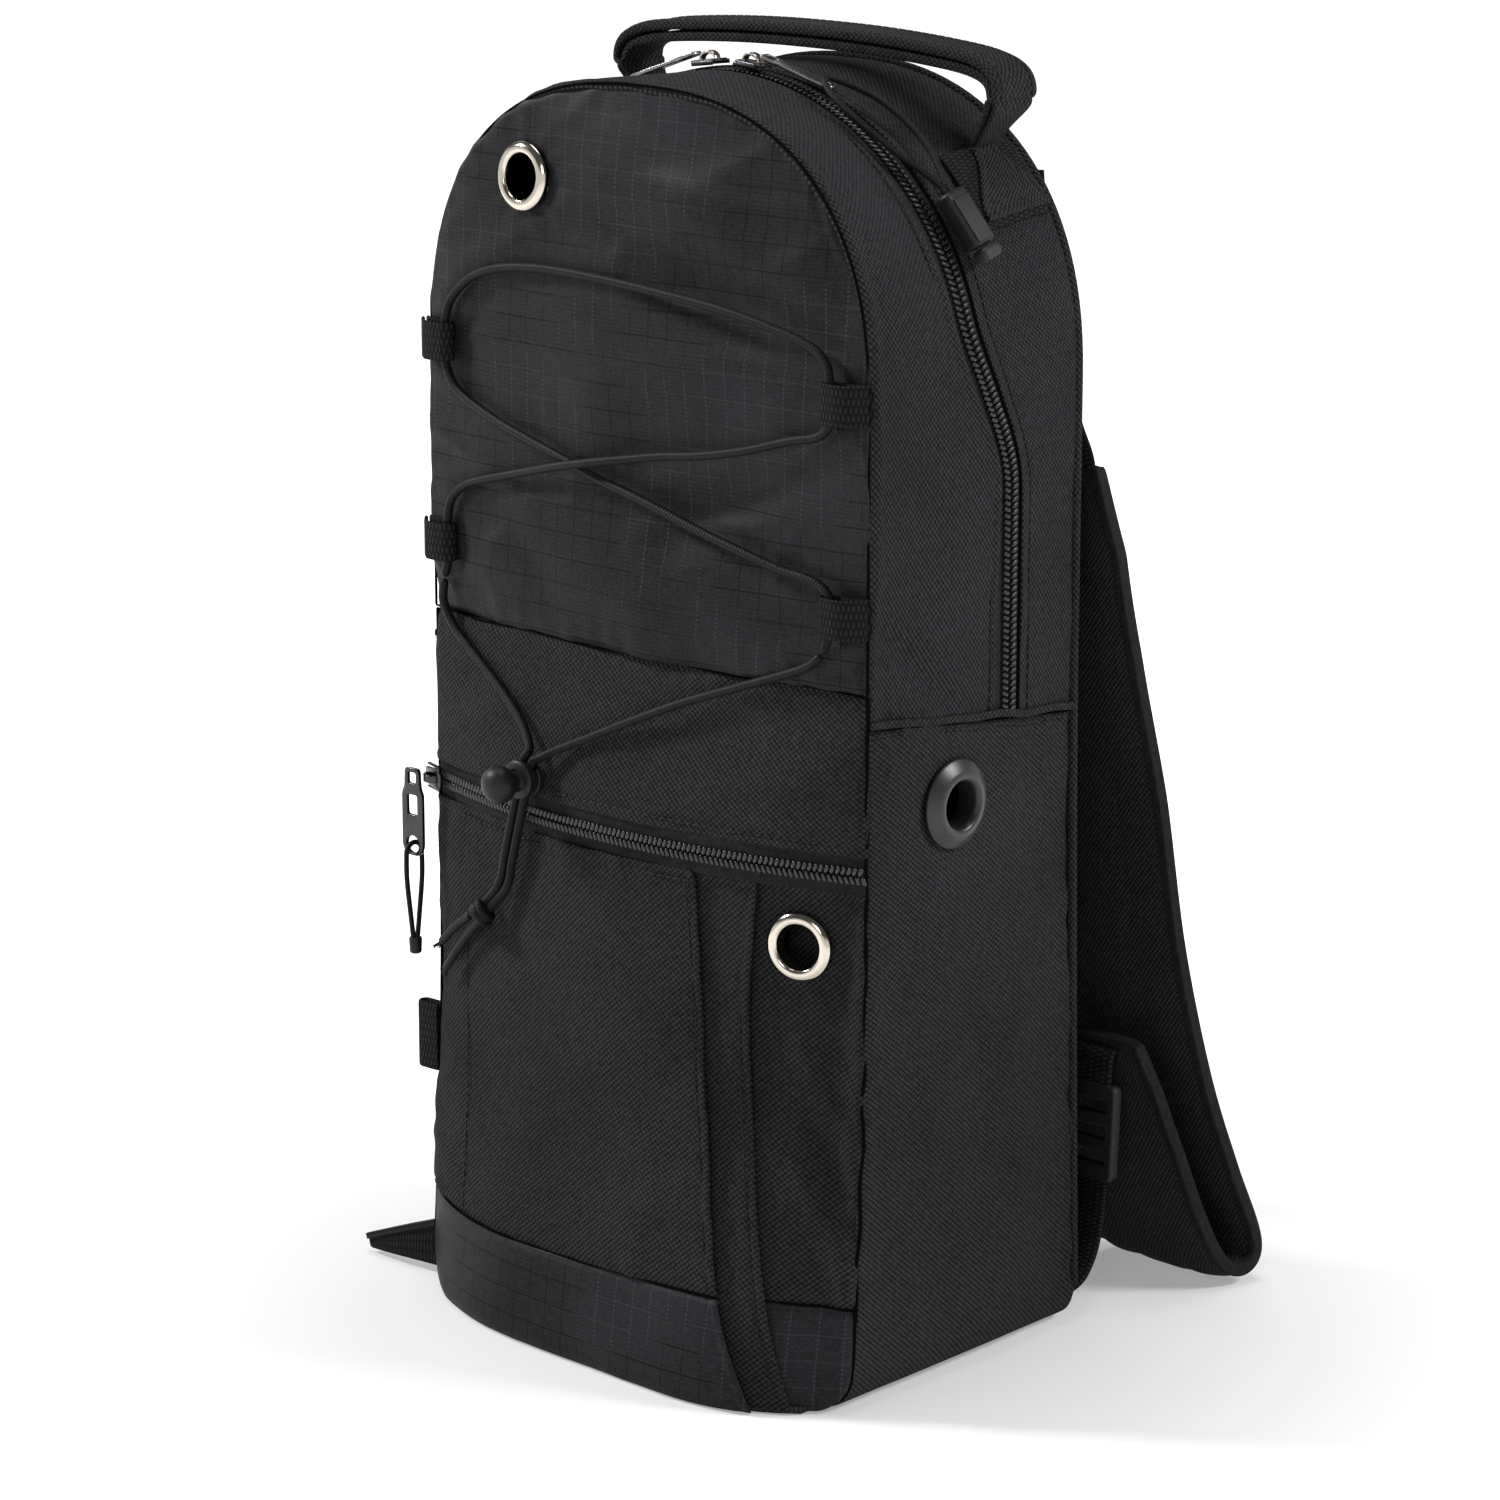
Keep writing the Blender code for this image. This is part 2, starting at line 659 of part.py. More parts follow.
LOOP_X = 85.0
UPPER_LOOP_Z = 332.0
LOWER_LOOP_Z = 264.0
LOOP_HEIGHT = 13.0
LACE_OUT = 3.6  # the lace's middle stands this far off the cloth


def lace_loop(name, hand, z):
    """A webbing loop sewn into the side seam, folded round the lace."""
    web = 1.2
    base = front(hand * LOOP_X, z).y
    seam = front(hand * (HALF_WIDTH - 0.5), z).y
    # Out along the cloth from the seam, round the lace, and back on top.
    inner = LACE_R + 0.5 + web / 2
    middle = Vector((hand * LOOP_X, base - LACE_OUT, z))
    points = [Vector((hand * (HALF_WIDTH + 1.2), seam - web / 2 - 0.4, z))]
    normals = [Vector((0, 1, 0))]
    for k in range(9):
        turn = math.radians(90 + 22.5 * k)
        outward = Vector((hand * math.cos(turn), math.sin(turn), 0))
        points.append(middle + outward * inner)
        normals.append(outward)
    points.append(Vector((hand * (HALF_WIDTH + 1.2), seam - web * 1.5 - 0.9, z)))
    normals.append(Vector((0, -1, 0)))
    ribbon(name, points, normals, LOOP_HEIGHT, web, WEBBING)


def lace_point(x, z, out=0.0):
    return front(x, z, LACE_OUT - 0.9 + out)


# Routes of the lace over the front, as (x, z, extra distance off the cloth) chosen by eye.
LID_LACE = (
    (-86.5, 253, 0.9), (-LOOP_X, 257, 0.9), (-LOOP_X, 264, 0.9), (-LOOP_X, 271, 0.9), (-83, 279, 0.4), (-75, 285, 0),
    (-60, 289.5, 0), (-43, 294, 0.6), (-28, 298, 2.6), (-12, 301.5, 3.6), (4, 304.5, 1.4), (18, 307, 0),
    (33, 309, 0), (52, 313, 0), (69, 318, 0), (80, 320.5, 0.4), (LOOP_X, 325, 0.9), (LOOP_X, 332, 0.9),
    (LOOP_X, 339, 0.9), (82.5, 345, 0.4), (75, 349.5, 0), (57, 354, 0), (40, 357, 0), (20, 359, 0), (0, 360.5, 0),
    (-20, 361.5, 0), (-40, 361.5, 0), (-58, 359.5, 0), (-72, 355, 0), (-82, 347, 0.4), (-LOOP_X, 339.5, 0.9),
    (-LOOP_X, 332, 0.9), (-LOOP_X, 324.5, 0.9), (-81, 317.5, 0.4), (-73, 313, 0), (-58, 308, 0), (-40, 303.5, 0),
    (-26, 300, 0), (-12, 296, 0), (4, 292.5, 0), (18, 289, 0), (34, 284.5, 0), (50, 280.5, 0), (66, 276.5, 0),
    (78, 274.8, 0.4), (LOOP_X, 271, 0.9), (LOOP_X, 264, 0.9), (LOOP_X, 257, 0.9), (83.5, 253, 0.9),
)
LEFT_STRAND = ((-87.2, 249.5, 0.9), (-88, 243, 0.6), (-83, 235, 0), (-74, 229, 0), (-56, 218.5, 0), (-43, 210, 0.4),
               (-36, 203, 1.6))
RIGHT_STRAND = ((81.6, 250.0, 0.9), (76, 246, 0.6), (62, 240.5, 0), (43, 233.5, 0), (26, 227, 0), (8, 219, 0),
                (-9, 211, 0), (-22, 205, 0.6), (-30.5, 200.5, 1.6))
LOCK_PLACE = Vector((-36.5, 0, 193.0))
TAIL_DIRECTION = Vector((-0.27, 0.0, -1.0)).normalized()


def build_lace():
    for name, hand, z in (
        ("lace_loop_upper_right", 1, UPPER_LOOP_Z),
        ("lace_loop_lower_right", 1, LOWER_LOOP_Z),
        ("lace_loop_upper_left", -1, UPPER_LOOP_Z),
        ("lace_loop_lower_left", -1, LOWER_LOOP_Z),
    ):
        lace_loop(name, hand, z)
    cord("lace", through([lace_point(*row) for row in LID_LACE], 1), LACE_R, LACE)

    # Both strands meet at the cord lock, run through it side by side, and end in one knot.
    level = front(LOCK_PLACE.x, LOCK_PLACE.z).y - LOCK_CORD_OUT
    aside = Vector((-TAIL_DIRECTION.z, 0, TAIL_DIRECTION.x)) * 1.8
    middle = Vector((LOCK_PLACE.x, level, LOCK_PLACE.z))
    knot = Vector((-57.0, front(-57.0, 142.5).y - 6.0, 142.5))
    for name, route, side in (("lace_left_strand", LEFT_STRAND, -1), ("lace_right_strand", RIGHT_STRAND, 1)):
        points = [lace_point(*row) for row in route]
        points += [middle + TAIL_DIRECTION * run + aside * side for run in (-6.0, 6.0, 18.0, 30.0, 40.0)]
        toward = (knot - points[-1]).normalized()
        points.append(knot - toward * 4.8 + aside * side * 0.95)
        cord(name, through(points, 2), LACE_R, LACE)
    along = (knot - middle - TAIL_DIRECTION * 40.0).normalized()
    knot_profile = [(0.0, -4.0), (3.6, -3.6), (5.2, -1.4), (5.2, 1.4), (3.6, 3.6), (0.0, 4.0)]
    tied = solid_turned("lace_knot", knot_profile, knot, along, LACE, 14)
    ends = {
        "lace_end_upper": ((-59.0, 142.6), (-64.0, 140.6), (-70.0, 137.0), (-78.0, 131.5), (-86.0, 125.0)),
        "lace_end_lower": ((-58.0, 140.0), (-62.6, 136.6), (-68.0, 131.5), (-75.0, 124.5), (-82.0, 117.0)),
    }
    for name, route in ends.items():
        end = cord(name, through([front(x, z, 4.4) for x, z in route], 2), LACE_R, LACE)
        join(tied, as_mesh(end))


LOCK_CORD_OUT = 4.6
LOCK_R = 6.4
BUTTON_TRAVEL = 3.0


def build_cord_lock():
    """A round barrel that both strands run through, with a sprung ball button on its outer end."""
    outward = Vector((0, -1, 0))
    base = front(LOCK_PLACE.x, LOCK_PLACE.z)
    profile = [(0.0, 1.4), (LOCK_R - 1, 1.4), (LOCK_R, 2.4), (LOCK_R, 8.0), (LOCK_R - 0.8, 8.8), (0.0, 8.8)]
    body = solid_turned("cord_lock_body", profile, base, outward, PLASTIC, 20)
    slot = block(
        "cord_lock_slot", (8.2, 3.9, 20.0), base + outward * LOCK_CORD_OUT,
        frame_from(Vector((-TAIL_DIRECTION.z, 0, TAIL_DIRECTION.x)), outward.cross(
            Vector((-TAIL_DIRECTION.z, 0, TAIL_DIRECTION.x)))), None, 0.0, CUTTERS,
    )
    cut(body, slot)
    top = 9.1 + BUTTON_TRAVEL
    ball = [(0.0, top)]
    for k in range(5):
        turn = math.radians(-50 + 35 * k)
        ball.append((LOCK_R * math.cos(turn), top + 4.4 + LOCK_R * 0.85 * math.sin(turn)))
    ball.append((0.0, top + 4.4 + LOCK_R * 0.85))
    solid_turned("cord_lock_button", ball, base, outward, PLASTIC, 20)


# ---------------------------------------------------------------- zipper sliders and pullers

MAIN_SLIDER_OUT = 1.2  # a slider clears the tapes, so that the lid's edge can leave from under it
SLIDER_SIZE = (12.0, 8.0, 2.4)
RIGHT_SLIDER_TURN = 3.4  # degrees from the top of the arch
LEFT_SLIDER_TURN = -7.6
PULLER_T = 1.5


def on_arch(turn, out, y=ZIP_ARCH_Y):
    """A point over the zipper's circle, with turn counted from the top towards the right."""
    radius = HALF_WIDTH + out
    return Vector((radius * math.sin(math.radians(turn)), y, SPRING_Z + radius * math.cos(math.radians(turn)) - 0.5))


def arch_frame(turn, sign):
    """Along the zipper in the given direction, with Z off the surface."""
    angle = math.radians(turn)
    along = Vector((math.cos(angle), 0, -math.sin(angle))) * sign
    return frame_from(along, Vector((math.sin(angle), 0, math.cos(angle))))


def build_main_sliders():
    for side, turn, sign in (("right", RIGHT_SLIDER_TURN, 1), ("left", LEFT_SLIDER_TURN, -1)):
        place = on_arch(turn, MAIN_SLIDER_OUT + SLIDER_SIZE[2] / 2)
        slider = block("main_slider_" + side, SLIDER_SIZE, place, arch_frame(turn, sign), DARK_METAL, 0.7)
        bridge = on_arch(turn - sign, MAIN_SLIDER_OUT + SLIDER_SIZE[2] + 0.8)
        join(slider, block("main_bail_" + side, (6.0, 2.4, 4.4), bridge, arch_frame(turn, sign), NICKEL, 0.5))
        start, stop = turn + sign * 3.2, turn + sign * 20.0
        lift = MAIN_SLIDER_OUT + SLIDER_SIZE[2] + 1.5
        centre = (on_arch(start, lift) + on_arch(stop, lift - 0.6)) / 2
        length = (on_arch(start, lift) - on_arch(stop, lift)).length
        middle = turn + sign * 11.6
        block("main_puller_" + side, (length, 4.8, PULLER_T), centre + Vector((0, 0, 1.0)), arch_frame(middle, sign),
              NICKEL if side == "right" else DARK_METAL, 0.5)


# The cord pull leaves the right puller's tip, loops over it and runs back over the arch to its moulded end.
# Rows are (degrees from the top, depth, distance off the surface).
PULL_LOOP = (
    (50.6, 1.2, 8.4), (47.0, 3.6, 7.8), (42.0, 5.8, 7.4), (36.0, 6.0, 7.2), (30.0, 4.2, 7.4), (25.6, 0.6, 7.6),
    (22.6, -3.2, 7.8), (21.2, -6.0, 8.0), (22.4, -9.6, 7.6), (25.8, -12.2, 6.6), (31.0, -12.2, 5.8), (37.0, -10.4, 5.6),
    (43.0, -7.4, 6.2), (47.6, -3.8, 7.4), (50.8, -1.8, 8.4),
)
PULL_END = (58.0, 2.0, 8.8)
PULL_CORD_R = 1.1


def build_cord_pull():
    points = [on_arch(turn, out, y) for turn, y, out in PULL_LOOP]
    cord("zip_pull_cord", through(points, 2), PULL_CORD_R, LACE)
    turn, y, out = PULL_END
    along = on_arch(turn + 6, out, y + 2.5) - on_arch(turn - 6, out, y - 2.5)
    angle = math.radians(turn)
    block("zip_pull_end", (25.0, 10.6, 6.2), on_arch(turn, out, y) + along.normalized() * 1.6,
          frame_from(along, Vector((math.sin(angle), 0, math.cos(angle)))), GREY_PLASTIC, 1.2)


POCKET_SLIDER_X = -94.0
POCKET_PULLER_X = -101.5
POCKET_PULLER_OUT = 7.0


def build_pocket_slider():
    outward = Vector((POCKET_SLIDER_X, -math.sqrt(POCKET_ARC_R**2 - POCKET_SLIDER_X**2), 0)).normalized()
    base = Vector((POCKET_SLIDER_X, POCKET_ARC_Y + outward.y * POCKET_ARC_R, POCKET_ZIP_Z))
    along = Vector((-outward.y, outward.x, 0))
    turn = frame_from(along, outward)
    slider = block("pocket_slider", (12.0, 8.0, 2.4), base + outward * 2.2, turn, DARK_METAL, 0.7)
    arm = base + outward * 4.2 - along * 4.2
    join(slider, block("pocket_bail", (3.4, 2.6, 3.6), arm, turn, DARK_METAL, 0.5))
    pivot = Vector((POCKET_PULLER_X, -60.6, POCKET_ZIP_Z + 1.0))
    tall = 31.0
    plate = block("pocket_puller", (10.0, PULLER_T, tall), pivot + Vector((0, 0, 2.0 - tall / 2)), Matrix.Identity(3),
                  DARK_METAL, 0.4)
    eye = pivot + Vector((0, 0, 6.0 - tall))
    cut_round(plate, 3.1, eye, Vector((0, 1, 0)))
    # The cord loop passes through the eye and hangs to a short bound tip.
    bend = 3.6
    tip_z = eye.z - 36.0
    points = [Vector((eye.x, eye.y - 1.1, tip_z + 3.4)), Vector((eye.x, eye.y - 2.2, tip_z + 12))]
    points.append(Vector((eye.x, eye.y - bend, eye.z - 12)))
    for k in range(7):
        turn_by = math.radians(180 - 30 * k)
        points.append(eye + Vector((0, bend * math.cos(turn_by), bend * math.sin(turn_by) - bend + 0.6)))
    points += [Vector((eye.x, eye.y + bend, eye.z - 12)), Vector((eye.x, eye.y + 2.2, tip_z + 12))]
    points.append(Vector((eye.x, eye.y + 1.1, tip_z + 3.4)))
    cord("pocket_pull_cord", through(points, 2), 0.9, LACE)
    tip = [(0.0, -3.0), (2.1, -2.6), (2.3, 2.4), (1.4, 3.0), (0.0, 3.0)]
    solid_turned("pocket_pull_tip", tip, Vector((eye.x, eye.y, tip_z)), Vector((0, 0, 1)), PLASTIC, 12)


# ---------------------------------------------------------------- haul handle

HANDLE_Y = 33.0
HANDLE_TOP = 432.5
HANDLE_END_T = 1.8
# Right half of the grip's middle line, as (x, z): up from the shoulder, round the corner and over the top.
HANDLE_LINE = ((71.0, 405.2), (77.0, 410.5), (81.5, 417.4), (80.0, 424.4), (71.0, 428.4), (52.0, 430.6), (26.0, 432.1))
HANDLE_WIDTHS = (9.0, 16.0, 22.0, 20.0, 18.0, 18.0, 18.0)
HANDLE_DEPTHS = (2.6, 3.4, 5.0, 7.0, 7.4, 7.4, 7.4)


def read_row(values, place):
    """A value between two neighbours of a row, at a fractional place."""
    low = min(int(place), len(values) - 2)
    return lerp(values[low], values[low + 1], place - low)


def band_normals(points, side):
    """Normals that keep a band's width along the given direction."""
    last = len(points) - 1
    return [side.cross(points[min(last, i + 1)] - points[max(0, i - 1)]).normalized() for i in range(len(points))]


def build_handle():
    half = [Vector((x, HANDLE_Y, z)) for x, z in HANDLE_LINE]
    middle = [Vector((0, HANDLE_Y, HANDLE_TOP))]
    points = half + middle + [Vector((-p.x, p.y, p.z)) for p in reversed(half)]
    widths = list(HANDLE_WIDTHS) + [18.0] + list(reversed(HANDLE_WIDTHS))
    depths = list(HANDLE_DEPTHS) + [7.4] + list(reversed(HANDLE_DEPTHS))
    fine = through(points, 2)
    ribbon("haul_handle", fine, band_normals(fine, Vector((0, 1, 0))),
           [read_row(widths, k / 2) for k in range(len(fine))], [read_row(depths, k / 2) for k in range(len(fine))],
           WEBBING)
    for side, first, last in (("right", 48.0, 30.0), ("left", 132.0, 150.0)):

        def on_shoulder(u, v, depth, first=first, last=last):
            return arch_point(lerp(first, last, u), lerp(13.0, 47.5, v), GAP + HANDLE_END_T - depth)

        panel("handle_end_" + side, on_shoulder, 4, 4, WEBBING, HANDLE_END_T)


# ---------------------------------------------------------------- straps

# Middle lines of the right strap's pieces; the left strap mirrors them.
UPPER_WEB = ((66.0, 53.2, 392.0), (68.0, 54.0, 362.0), (72.0, 58.0, 330.0), (75.0, 64.0, 309.0), (76.3, 68.6, 297.5))
PAD_LINE = (
    (76.5, 70.5, 294.0), (73.0, 75.0, 264.0), (72.0, 82.0, 228.0), (74.0, 93.5, 177.0), (77.0, 101.5, 124.0),
    (81.5, 112.0, 76.0), (86.0, 122.5, 42.0), (90.0, 130.5, 18.0), (91.0, 130.0, 8.5), (90.0, 123.0, 5.4),
    (88.0, 115.0, 10.0), (85.5, 107.0, 25.0), (82.5, 98.5, 50.0), (80.0, 92.0, 74.0), (79.0, 88.0, 91.0),
)
PAD_WIDTHS = (30.0, 50.0, 56.0, 58.0, 58.0, 58.0, 58.0, 58.0, 58.0, 58.0, 58.0, 58.0, 56.0, 50.0, 40.0)
LOCK_MIDDLE = (80.0, 80.5, 60.0)
END_TAB = ((79.2, 87.0, 88.5), (79.6, 82.6, 86.5), (80.0, 81.0, 79.6))
LOWER_WEB = ((80.0, 79.6, 41.5), (81.0, 77.0, 32.0), (83.0, 71.0, 20.5), (84.0, 64.5, 13.5), (84.0, 59.6, 11.0))
PAD_DEPTHS = (3.0, 8.0, *(9.0,) * 11, 8.0, 4.0)


def mirrored(rows, hand):
    return [Vector((hand * x, y, z)) for x, y, z in rows]


def ladder_lock(name, centre):
    """A flat frame with two slots and a cross bar, that grips the lower webbing."""
    turn = frame_from(Vector((1, 0, 0)), Vector((0, -1, 0.06)))
    body = block(name, (31.0, 34.0, 4.6), centre, turn, GREY_PLASTIC, 1.0)
    for k, rise in enumerate((-9.0, 0.0, 9.0)):
        cutter = block(f"{name}_slot_{k}", (25.0, 4.6, 12.0), centre + turn @ Vector((0, rise, 0)), turn, None, 0.0,
                       CUTTERS)
        cut(body, cutter)


def build_straps():
    across = Vector((1, 0, 0))
    for side, hand in (("right", 1), ("left", -1)):
        line = mirrored(UPPER_WEB, hand)
        ribbon("upper_webbing_" + side, line, band_normals(line, across), 27.0, 1.8, WEBBING)
        line = through(mirrored(PAD_LINE, hand), 2)
        widths = [read_row(PAD_WIDTHS, k / 2) for k in range(len(line))]
        depths = [read_row(PAD_DEPTHS, k / 2) for k in range(len(line))]
        pad = ribbon("shoulder_pad_" + side, line, band_normals(line, across), widths, depths, PADDING)
        line = mirrored(END_TAB, hand)
        join(pad, ribbon("strap_tab_" + side, line, band_normals(line, across), 25.0, 1.8, WEBBING))
        ladder_lock("ladder_lock_" + side, mirrored([LOCK_MIDDLE], hand)[0])
        line = mirrored(LOWER_WEB, hand)
        ribbon("lower_webbing_" + side, line, band_normals(line, across), 25.0, 1.8, WEBBING)


# ---------------------------------------------------------------- left side trim and the inside


def build_left_trim():
    """A webbing loop in the left seam, and a short webbing wing that rests on the floor beside the bag."""
    seam_y = front_seam(86.0)
    middle = Vector((-104.6, seam_y + 1.4, 86.0))
    points = [Vector((-HALF_WIDTH - 0.9, middle.y + 1.9, 86.0))]
    normals = [Vector((0, 1, 0))]
    for k in range(7):
        turn = math.radians(90 + 30 * k)
        outward = Vector((math.cos(turn), math.sin(turn), 0))
        points.append(middle + outward * 1.9)
        normals.append(outward)
    points.append(Vector((-HALF_WIDTH - 0.9, middle.y - 1.9, 86.0)))
    normals.append(Vector((0, -1, 0)))
    ribbon("side_loop_left", points, normals, 24.0, 1.6, WEBBING)
    wing = [Vector((-98.6, -56.2, 10.6)), Vector((-108, -57.0, 8.8)), Vector((-120, -57.0, 6.2)),
            Vector((-132, -56.0, 3.4))]
    out = [Vector((0, -1, 0.1))] * len(wing)
    ribbon("side_wing_left", wing, out, [17.0, 14.5, 10.0, 4.6], 2.6, WEBBING)


def build_inside():
    def pad_place(u, v, depth):
        edge = math.sin(math.pi * u) ** 0.35 * math.sin(math.pi * v) ** 0.35
        z = lerp(42.0, 370.0, v)
        y = back_seam(z) + GAP + (1 - depth) * (1.5 + 5.5 * edge)
        return Vector((lerp(-48.0, 48.0, u), y, z))

    panel("back_pad", pad_place, 10, 14, PADDING, 1.0)
    hoop = [Vector((-46, 47.6, 200)), Vector((-50, 30, 200)), Vector((-49, 5, 200)), Vector((-36, -22, 200)),
            Vector((0, -36, 200)), Vector((36, -22, 200)), Vector((49, 5, 200)), Vector((50, 30, 200)),
            Vector((46, 47.6, 200))]
    line = through(hoop, 2)
    ribbon("cylinder_strap", line, band_normals(line, Vector((0, 0, 1))), 38.0, 1.8, WEBBING)


def main():
    build_shell()
    build_pocket()
    build_eyelets()
    build_lace()
    build_cord_lock()
    build_main_sliders()
    build_cord_pull()
    build_pocket_slider()
    build_handle()
    build_straps()
    build_left_trim()
    build_inside()


main()
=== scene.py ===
"""The visible cylinder backpack: its cloth, webbing, cords and hardware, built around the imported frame.

Shapes are worked out in millimetres, in the frame's own axes: the front faces -Y and +Z is up. MM turns them
into metres.
"""

import random
from math import copysign, cos, exp, hypot, pi, radians, sin, sqrt

import bpy
import numpy as np
from mathutils import Matrix, Vector, noise


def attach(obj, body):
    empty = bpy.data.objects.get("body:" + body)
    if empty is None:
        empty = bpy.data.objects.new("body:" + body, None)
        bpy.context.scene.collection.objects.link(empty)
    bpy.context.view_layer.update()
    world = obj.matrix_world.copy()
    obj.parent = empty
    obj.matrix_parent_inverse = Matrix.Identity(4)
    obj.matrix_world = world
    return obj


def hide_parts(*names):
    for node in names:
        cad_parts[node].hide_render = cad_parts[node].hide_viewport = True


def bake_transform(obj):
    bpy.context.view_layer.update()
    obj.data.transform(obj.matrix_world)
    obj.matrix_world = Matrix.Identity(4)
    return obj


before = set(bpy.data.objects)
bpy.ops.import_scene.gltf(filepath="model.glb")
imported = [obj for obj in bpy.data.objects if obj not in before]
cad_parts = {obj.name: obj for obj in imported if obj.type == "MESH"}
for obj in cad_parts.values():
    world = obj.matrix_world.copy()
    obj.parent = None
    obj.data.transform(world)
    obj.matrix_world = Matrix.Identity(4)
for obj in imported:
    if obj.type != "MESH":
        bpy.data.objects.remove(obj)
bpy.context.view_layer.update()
MM = 0.001
RIGHT = Vector((1, 0, 0))
BACKWARD = Vector((0, 1, 0))
FORWARD = Vector((0, -1, 0))
UP = Vector((0, 0, 1))

# ---------------------------------------------------------------- the bag's shape, as the frame has it

HALF_WIDTH = 97.5
SPRING_Z = 327.0
ARCH_RISE = 97.0
FRONT_SEAM_Y = -53.0
BACK_SEAM_Y = 51.0
FRONT_FLARE = 7.0
BACK_FLARE = 6.0
SIDE_BULGE = 2.0
CORNER_R = 12.0
ARCH_FRONT = 2.45
ARCH_ZIP = 2.0
ARCH_BACK = 2.3
LID_SEAM_Z = 239.0
SIDE_SEAM_FRONT_Z = 230.0
SIDE_SEAM_BACK_Z = 218.0
POCKET_ZIP_Z = 180.0
POCKET_ZIP_HALF = 6.0
BAND_Z = 35.0
BASE_T = 2.4
ZIP_ARCH_Y = -6.0
ZIP_SIDE_Y = 14.0
ZIP_TAPE = 7.0
CROWN = ((0.0, 28.0), (100.0, 22.0), (POCKET_ZIP_Z, 18.0), (LID_SEAM_Z, 8.0), (330.0, 6.0), (424.0, 6.0))
FIRST_FLAP = ((2.0, 73.0), (36.0, 58.4), (99.0, 45.6), (138.0, 41.0), (174.0, 36.4))
SECOND_FLAP = ((2.0, 83.0), (32.0, 74.0), (76.0, 64.0), (131.0, 57.5), (174.0, 58.5))
FLAP_LAP = 13.0
LAYER = 2.6
UPPER_EYELET = (-50.0, 390.0)
LOWER_EYELET = (72.0, 153.0)
GLAND_PLACE = Vector((99.5, -13.0, 197.0))
EYELET_BORE = 7.2
EYELET_R = 11.5
GLAND_BORE = 7.6
GLAND_R = 15.0
LACE_R = 1.5
# The holes cut in the cloth under each ring.
LID_HOLE_R = 9.4
POCKET_HOLE_R = 9.2
GLAND_HOLE_R = 10.4
# How thick each kind of cloth and webbing is.
CLOTH_T = 1.3
BACK_T = 1.6
WALL_T = 1.2
TAPE_T = 0.8
MESH_T = 0.5
PATCH_T = 1.7
GORE_T = 1.0
WEB_T = 1.8
BAG_MIDDLE = Vector((0.0, 0.0, 200.0))


def smooth(t):
    t = min(1.0, max(0.0, t))
    return t * t * (3 - 2 * t)


def lerp(a, b, t):
    return a + (b - a) * t


def stepped(value, table):
    """Reads a table of (position, amount), easing from one row to the next."""
    for (start, a), (end, b) in zip(table, table[1:]):
        if value <= end:
            return lerp(a, b, smooth((value - start) / (end - start)))
    return table[-1][1]


def curved(value, table):
    """Reads a table of (position, amount) along a smooth curve through its rows."""
    places = [row[0] for row in table]
    index = max(0, min(len(table) - 2, sum(value >= p for p in places) - 1))
    before = table[max(0, index - 1)]
    (x1, a), (x2, b) = table[index], table[index + 1]
    after = table[min(len(table) - 1, index + 2)]
    t = (value - x1) / (x2 - x1)
    m1 = (b - before[1]) / (x2 - before[0]) * (x2 - x1)
    m2 = (after[1] - a) / (after[0] - x1) * (x2 - x1)
    from_start = (2 * t**3 - 3 * t**2 + 1) * a + (t**3 - 2 * t**2 + t) * m1
    return from_start + (3 * t**2 - 2 * t**3) * b + (t**3 - t**2) * m2


def front_seam(z):
    return FRONT_SEAM_Y - FRONT_FLARE * max(0.0, 1 - z / 160.0) ** 2


def back_seam(z):
    return BACK_SEAM_Y + BACK_FLARE * max(0.0, 1 - z / 240.0) ** 1.5


def edge_share(x, z):
    across = abs(x) / HALF_WIDTH
    if z <= SPRING_Z:
        return min(1.0, across)
    up = (z - SPRING_Z) / ARCH_RISE
    return min(1.0, (across**ARCH_FRONT + up**ARCH_FRONT) ** (1 / ARCH_FRONT))


def front(x, z, out=0.0):
    """The front's outer surface at (x, z), moved out by a distance."""
    share = edge_share(x, z)
    low = smooth((150.0 - z) / 150.0)
    fullness = (1 - low) * (1 - share**2) + low * (1 - share**4)
    skew = 1 + 0.2 * low * x / HALF_WIDTH
    return Vector((x, front_seam(z) - stepped(z, CROWN) * fullness * skew - out, z))


def front_normal(x, z):
    across = front(x + 1, z) - front(x - 1, z)
    upward = front(x, z + 1) - front(x, z - 1)
    return across.cross(upward).normalized()


def front_half_width(z):
    if z > SPRING_Z:
        return HALF_WIDTH * max(0.0, 1 - ((z - SPRING_Z) / ARCH_RISE) ** ARCH_FRONT) ** (1 / ARCH_FRONT)
    if z < CORNER_R:
        return HALF_WIDTH - CORNER_R + sqrt(CORNER_R**2 - (CORNER_R - z) ** 2)
    return HALF_WIDTH


def squareness_at(y):
    if y < ZIP_ARCH_Y:
        return lerp(ARCH_FRONT, ARCH_ZIP, smooth((y - FRONT_SEAM_Y) / (ZIP_ARCH_Y - FRONT_SEAM_Y)))
    return lerp(ARCH_ZIP, ARCH_BACK, smooth((y - ZIP_ARCH_Y) / (BACK_SEAM_Y - ZIP_ARCH_Y)))


def zipper_y(z):
    return lerp(ZIP_ARCH_Y, ZIP_SIDE_Y, smooth((355.0 - z) / 60.0))


def arch_point(turn, y, out=0.0):
    """A point of the strip over the arch: turn 0 is the right spring line, 90 the top, 180 the left."""
    power = 2 / squareness_at(y)
    c, s = cos(radians(turn)), sin(radians(turn))
    bulge = SIDE_BULGE * sin(pi * (y - FRONT_SEAM_Y) / (BACK_SEAM_Y - FRONT_SEAM_Y)) * abs(c) + out
    x = copysign(abs(c) ** power, c) * HALF_WIDTH
    z = SPRING_Z + abs(s) ** power * ARCH_RISE
    return Vector((x + bulge * c, y, z + out * s))


